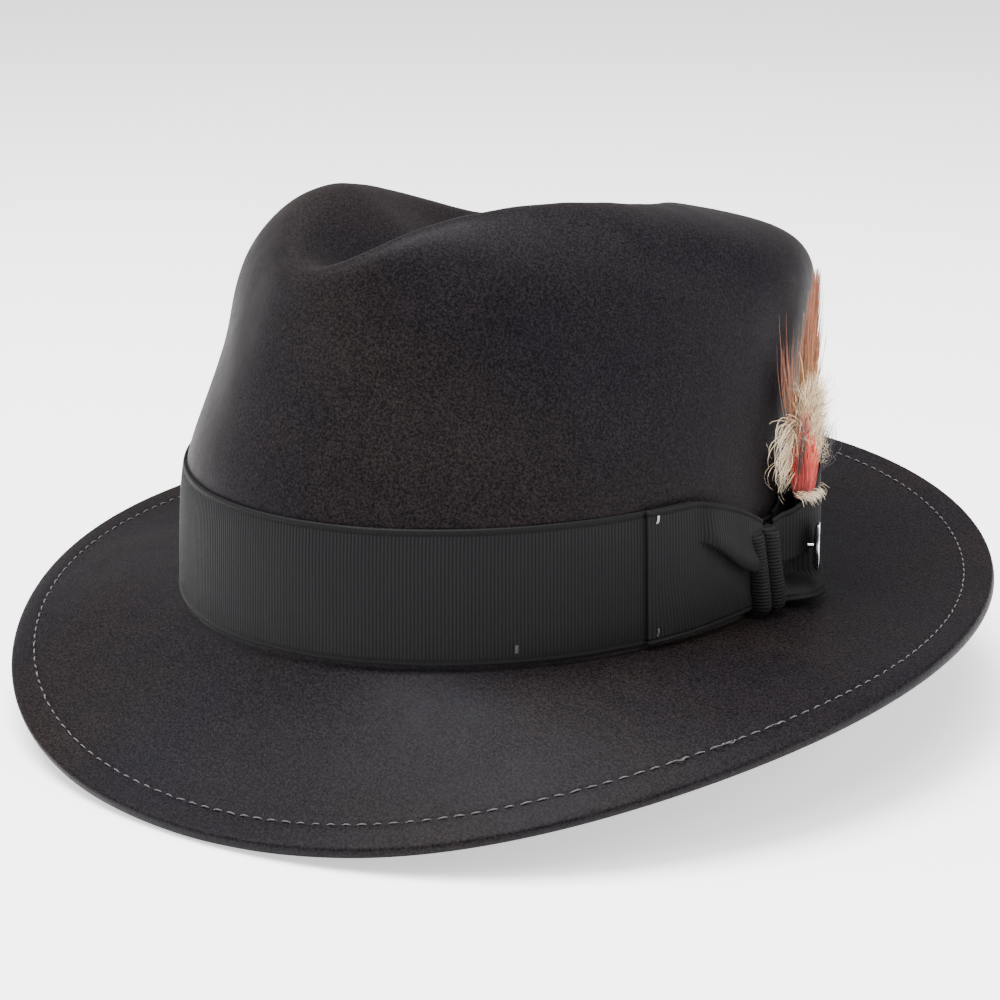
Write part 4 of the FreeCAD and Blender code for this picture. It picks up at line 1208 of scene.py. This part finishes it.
def build_inside():
    z = np.concatenate([[2.5, 2.7, 3.1, 3.7, 4.1, 4.4, 4.7, 5.1, 5.8, 7], np.linspace(9, 55, 16),
                        [56.5, 57.6, 58.2, 58.5]])

    def sweat(T, Z):
        wav = 0.20 * np.sin(5 * T + 0.4) * smooth01((Z - 30) / 28)
        wav = wav + 0.10 * np.sin(13 * T + Z / 9) * smooth01((Z - 18) / 30)
        groove = -0.16 * np.exp(-((Z - SWEAT_SEAM) / 0.35) ** 2) - 0.10 * np.exp(-((Z - 56.6) / 0.4) ** 2)
        puff = 0.05 * np.sin(T * 260) * np.exp(-((Z - SWEAT_SEAM) / 0.8) ** 2)
        d = turn(T - PI) * 90
        seam = -0.30 * np.exp(-(d / 0.5) ** 2)
        return wav + groove + puff + seam - 0.25 * smooth01((Z - 57.6) / 0.9) - 0.25 * smooth01((3.0 - Z) / 0.5)
    band_inside("sweatband_leather", z, -3.1, -4.3, LEATHER_M, ("sweatband",), sweat, 1080,
                ["felt_shell"])

    # piped edge: tape round the plastic reed, sewn through
    n = 720
    t = np.arange(n) * 2 * PI / n
    C = wall(t, 1.05, -3.35)
    nn = normal2(t)
    sides = 14
    arc_a = np.linspace(-215, 35, sides) * PI / 180
    rows = []
    for rad in (1.14, 0.84):
        ring_rows = []
        for a in arc_a:
            rr = rad + (0.035 * np.sin(t * 520) if rad > 1 else 0 * t)
            ring_rows.append(C - nn * (rr * math.cos(a))[:, None] + np.outer(rr * math.sin(a), [0, 0, 1]))
        rows.append(ring_rows)
    G = np.array(rows[0] + rows[1][::-1])
    V = G.reshape(-1, 3)
    F = [tuple(q) for q in grid_faces(len(G), n, wrap_c=True, wrap_r=True)]
    ob = make("reed_tape_cloth", V, F, TAPE_M, "hat")
    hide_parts("reed_tape")
    give("sweatband_reed", REED_M)

    # stitches along the foot of the sweatband
    heap = Heap()
    fn = lambda q: wall(q, SWEAT_SEAM + 0 * q, -4.5)
    _, length = arc_params(fn, 8)
    count = int(round(length / SWEAT_PITCH))
    ts, _ = arc_params(fn, count)
    for a in ts:
        P = [wall(a + q * 1.75 / 90, SWEAT_SEAM + 0.12 * q, -4.28 - 0.24 * math.cos(PI * q))
             for q in np.linspace(-0.5, 0.5, 5)]
        heap.line(P, 0.17, 5)
    ob = heap.build("sweatband_stitches", TAPE_M, "hat")
    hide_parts("sweatband_stitching")

    # zigzag at the rear join, over a flat strip
    heap = Heap()
    A, B = np.meshgrid(np.linspace(0, 1, 9), np.linspace(0, 1, 60))
    strip_t, strip_z = np.radians(179.1 + 1.8 * A), 6 + 48 * B
    g0 = wall(strip_t, strip_z, -4.66 - 0.12 * np.sin(PI * A))
    g1 = wall(strip_t, strip_z, -4.85 - 0.18 * np.sin(PI * A) - 0.05 * np.cos(B * 300))
    heap.add(*closed_sheet(g0, g1))
    k = np.arange(0, 49)
    P = [wall(math.radians(179.2 + 1.6 * (i % 2)), 6.5 + i * 47 / 48, -5.12) for i in k]
    heap.line(P, 0.12, 5, 1)
    ob = heap.build("sweatband_join", [LEATHER_M, TAPE_M], "hat")
    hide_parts("sweatband_rear_seam")

    # small flat bow at the back of the sweatband
    def rear_bow(a, b, c):
        pinch = 0.35 + 0.65 * np.abs(2 * a - 1) ** 0.8
        puff = 0.45 * np.sin(PI * np.abs(2 * a - 1)) * np.sin(PI * b)
        return wall(np.radians(TIE_START + TIE_SPAN * a), TIE_Z + 3.2 * pinch * (2 * b - 1),
                    -5.35 - 0.35 - 0.45 * c - puff)
    a = np.linspace(0, 1, 110)
    b = np.linspace(0, 1, 24)
    A, B = np.meshgrid(a, b)
    rib = 0.06 * np.sin(2 * PI * a / 0.045)
    hi = rear_bow(A, B, 1.0) - normal2(np.radians(TIE_START + TIE_SPAN * A)) * rib[None, :, None]
    lo = rear_bow(A, B, 0.0)
    heap = Heap()
    heap.add(*closed_sheet(lo, hi))
    A2, B2 = np.meshgrid(np.linspace(0.455, 0.545, 12), np.linspace(-0.25, 1.25, 30))
    tie_t, tie_z = np.radians(TIE_START + TIE_SPAN * A2), TIE_Z + 1.7 * (2 * B2 - 1) * 0.8
    kb = wall(tie_t, tie_z, -6.3 - 0.35 * np.sqrt(np.clip(1 - ((A2 - 0.5) / 0.048) ** 2, 0, 1)))
    kl = wall(tie_t, tie_z, -5.7)
    heap.add(*closed_sheet(kl, kb))
    ob = heap.build("sweatband_tied_bow", RIBBON_M, "hat")
    add_attr(ob, "rib", np.full(len(ob.data.vertices), 0.7))
    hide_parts("sweatband_bow")

    A, B = np.meshgrid(np.linspace(0, 1, 30), np.linspace(0, 1, 24))
    curl = 0.22 * (np.abs(2 * A - 1) ** 4 + np.abs(2 * B - 1) ** 4)
    label_t, label_z = np.radians(160 + 11 * A), 30 + 12 * B
    hi = wall(label_t, label_z, -4.92 - curl)
    lo = wall(label_t, label_z, -4.72 - curl)
    ob = make("blank_label", *closed_sheet(lo, hi), LABEL_M, "hat")
    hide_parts("size_label")

    # satin side of the lining, softly gathered, and its tip
    z = np.linspace(36, 74.4, 44)

    def gathers(T, Z):
        k = smooth01((Z - 50) / 24)
        fine = 0.32 * np.sin(60 * T + 2.2 * np.sin(3 * T)) + 0.22 * np.sin(97 * T + 1.3)
        return k * fine + 0.15 * np.sin(7 * T + Z / 8)
    band_inside("lining_side_satin", z, -2.5, -2.85, SATIN_M, ("lining_side",), gathers, 1080,
                ["felt_shell"])

    n = 240
    t = np.arange(n) * 2 * PI / n

    def disc(name, inset, z0, thick, mat, node_, bulge, seed):
        edge_ = wall(t, 74.0 + 0 * t, -inset)
        cen = edge_.mean(0)
        rings_ = 46
        ks = np.linspace(1, 1 / rings_, rings_)
        top, low = [], []
        for k in ks:
            p = cen + (edge_ - cen) * k
            p[:, 2] = z0 + bulge * (1 - k ** 2) + 0.22 * noise3(p, 34, seed) * smooth01((1 - k) / 0.15)
            q = p.copy()
            q[:, 2] += thick
            low.append(p)
            top.append(q)
        L, T_ = np.array(low), np.array(top)
        m = rings_ * n
        V = np.concatenate([L.reshape(-1, 3), T_.reshape(-1, 3)])
        F = [tuple(x) for x in grid_faces(rings_, n, wrap_c=True)]
        F += [tuple(x) for x in grid_faces(rings_, n, wrap_c=True, base=m, flip=True)]
        F.append(tuple((rings_ - 1) * n + i for i in range(n)))
        F.append(tuple(m + (rings_ - 1) * n + i for i in range(n))[::-1])
        for i in range(n):
            F.append((i, m + i, m + (i + 1) % n, (i + 1) % n))
        ob = make(name, V, F, mat, "hat")
        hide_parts(node_)
    disc("lining_tip_satin", 3.2, 74.0, 0.35, SATIN_M, "lining_tip", 0.5, 5)
    disc("tip_film", 16.0, 73.35, 0.25, FILM_M, "tip_shield", 0.35, 6)

    # corded piping where side and tip meet: two plies
    heap = Heap()
    n = 1500
    t = np.arange(n) * 2 * PI / n
    C = wall(t, 73.05 + 0 * t, -4.0)
    nn = normal2(t)
    for ph in (0, PI):
        w = 190 * t + ph
        P = C + nn * (0.30 * np.cos(w))[:, None] + np.outer(0.30 * np.sin(w), [0, 0, 1])
        heap.line(P, 0.40, 6, closed=True)
    ob = heap.build("lining_cord", PIPING_M, "hat")
    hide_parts("lining_piping")


for build in (build_felt, build_welt_stitches, build_band, build_front_loop, build_rear_loop,
              build_knot, build_tacks, build_pin, build_feather, build_inside):
    build()


# ------------------------------------------------------- floor, light, camera
def floor():
    z0 = CAD_BOX[0][2] - 0.0006
    me = bpy.data.meshes.new("floor")
    n = 24
    side = 12.0
    V = [((i / n - 0.5) * side, (j / n - 0.5) * side, z0) for i in range(n + 1) for j in range(n + 1)]
    F = [(a, a + n + 1, a + n + 2, a + 1) for i in range(n) for a in range(i * (n + 1), i * (n + 1) + n)]
    me.from_pydata(V, [], F)
    me.update()
    ob = bpy.data.objects.new("floor", me)
    bpy.context.scene.collection.objects.link(ob)
    m, nt, b = material("pale_floor", (0.93, 0.93, 0.935), 0.7)
    w = noise(nt, coords(nt), 3, 3, 0.5)
    nt.links.new(ramp(nt, w, [(0.2, (0.915, 0.915, 0.92)), (0.8, (0.95, 0.95, 0.95))]),
                 b.inputs["Base Color"])
    b.inputs["Specular IOR Level"].default_value = 0.1
    b.inputs["Emission Color"].default_value = (1, 1, 1, 1)
    b.inputs["Emission Strength"].default_value = 0.9
    me.materials.append(m)


def area_light(name, energy, size, at, aim=(0, 0, 0.05)):
    li = bpy.data.lights.new(name, "AREA")
    li.energy = energy
    li.shape = "SQUARE"
    li.size = size
    ob = bpy.data.objects.new(name, li)
    bpy.context.scene.collection.objects.link(ob)
    ob.location = at
    d = np.array(aim) - np.array(at)
    ob.rotation_euler = Vector(d).to_track_quat("-Z", "Y").to_euler()


def stage_set():
    floor()
    world = bpy.data.worlds.new("studio")
    bpy.context.scene.world = world
    world.use_nodes = True
    world.node_tree.nodes["Background"].inputs[0].default_value = (1.0, 1.0, 1.0, 1)
    world.node_tree.nodes["Background"].inputs[1].default_value = 0.60
    az, el = math.radians(CAMERA_AZIMUTH), math.radians(CAMERA_ELEVATION)
    r = np.array([math.cos(az), math.sin(az), 0])
    d = np.array([math.sin(az) * math.cos(el), -math.cos(az) * math.cos(el), math.sin(el)])
    f = np.array([math.sin(az), -math.cos(az), 0])
    target = CAMERA_AIM[0] * r + np.array([0, 0, CAMERA_AIM[1]])
    cam = bpy.data.cameras.new("camera")
    cam.lens = CAMERA_LENS
    cam.sensor_width = 36.0
    cam.clip_end = 100
    ob = bpy.data.objects.new("camera", cam)
    bpy.context.scene.collection.objects.link(ob)
    u = np.cross(d, r)
    R = Matrix(((r[0], u[0], d[0]), (r[1], u[1], d[1]), (r[2], u[2], d[2])))
    ob.rotation_euler = R.to_euler()
    ob.location = target + d * CAMERA_DISTANCE
    bpy.context.scene.camera = ob
    area_light("top_soft", 84, 1.0, tuple(-0.30 * r + 0.10 * f + np.array([0, 0, 1.45])))
    area_light("front_high", 11, 0.5, tuple(0.25 * r + 0.75 * f + np.array([0, 0, 1.35])))
    area_light("left_soft", 12, 0.8, tuple(-1.30 * r + 0.05 * f + np.array([0, 0, 0.9])))
    area_light("right_soft", 20, 0.9, tuple(1.3 * r + 0.5 * f + np.array([0, 0, 0.7])))


stage_set()
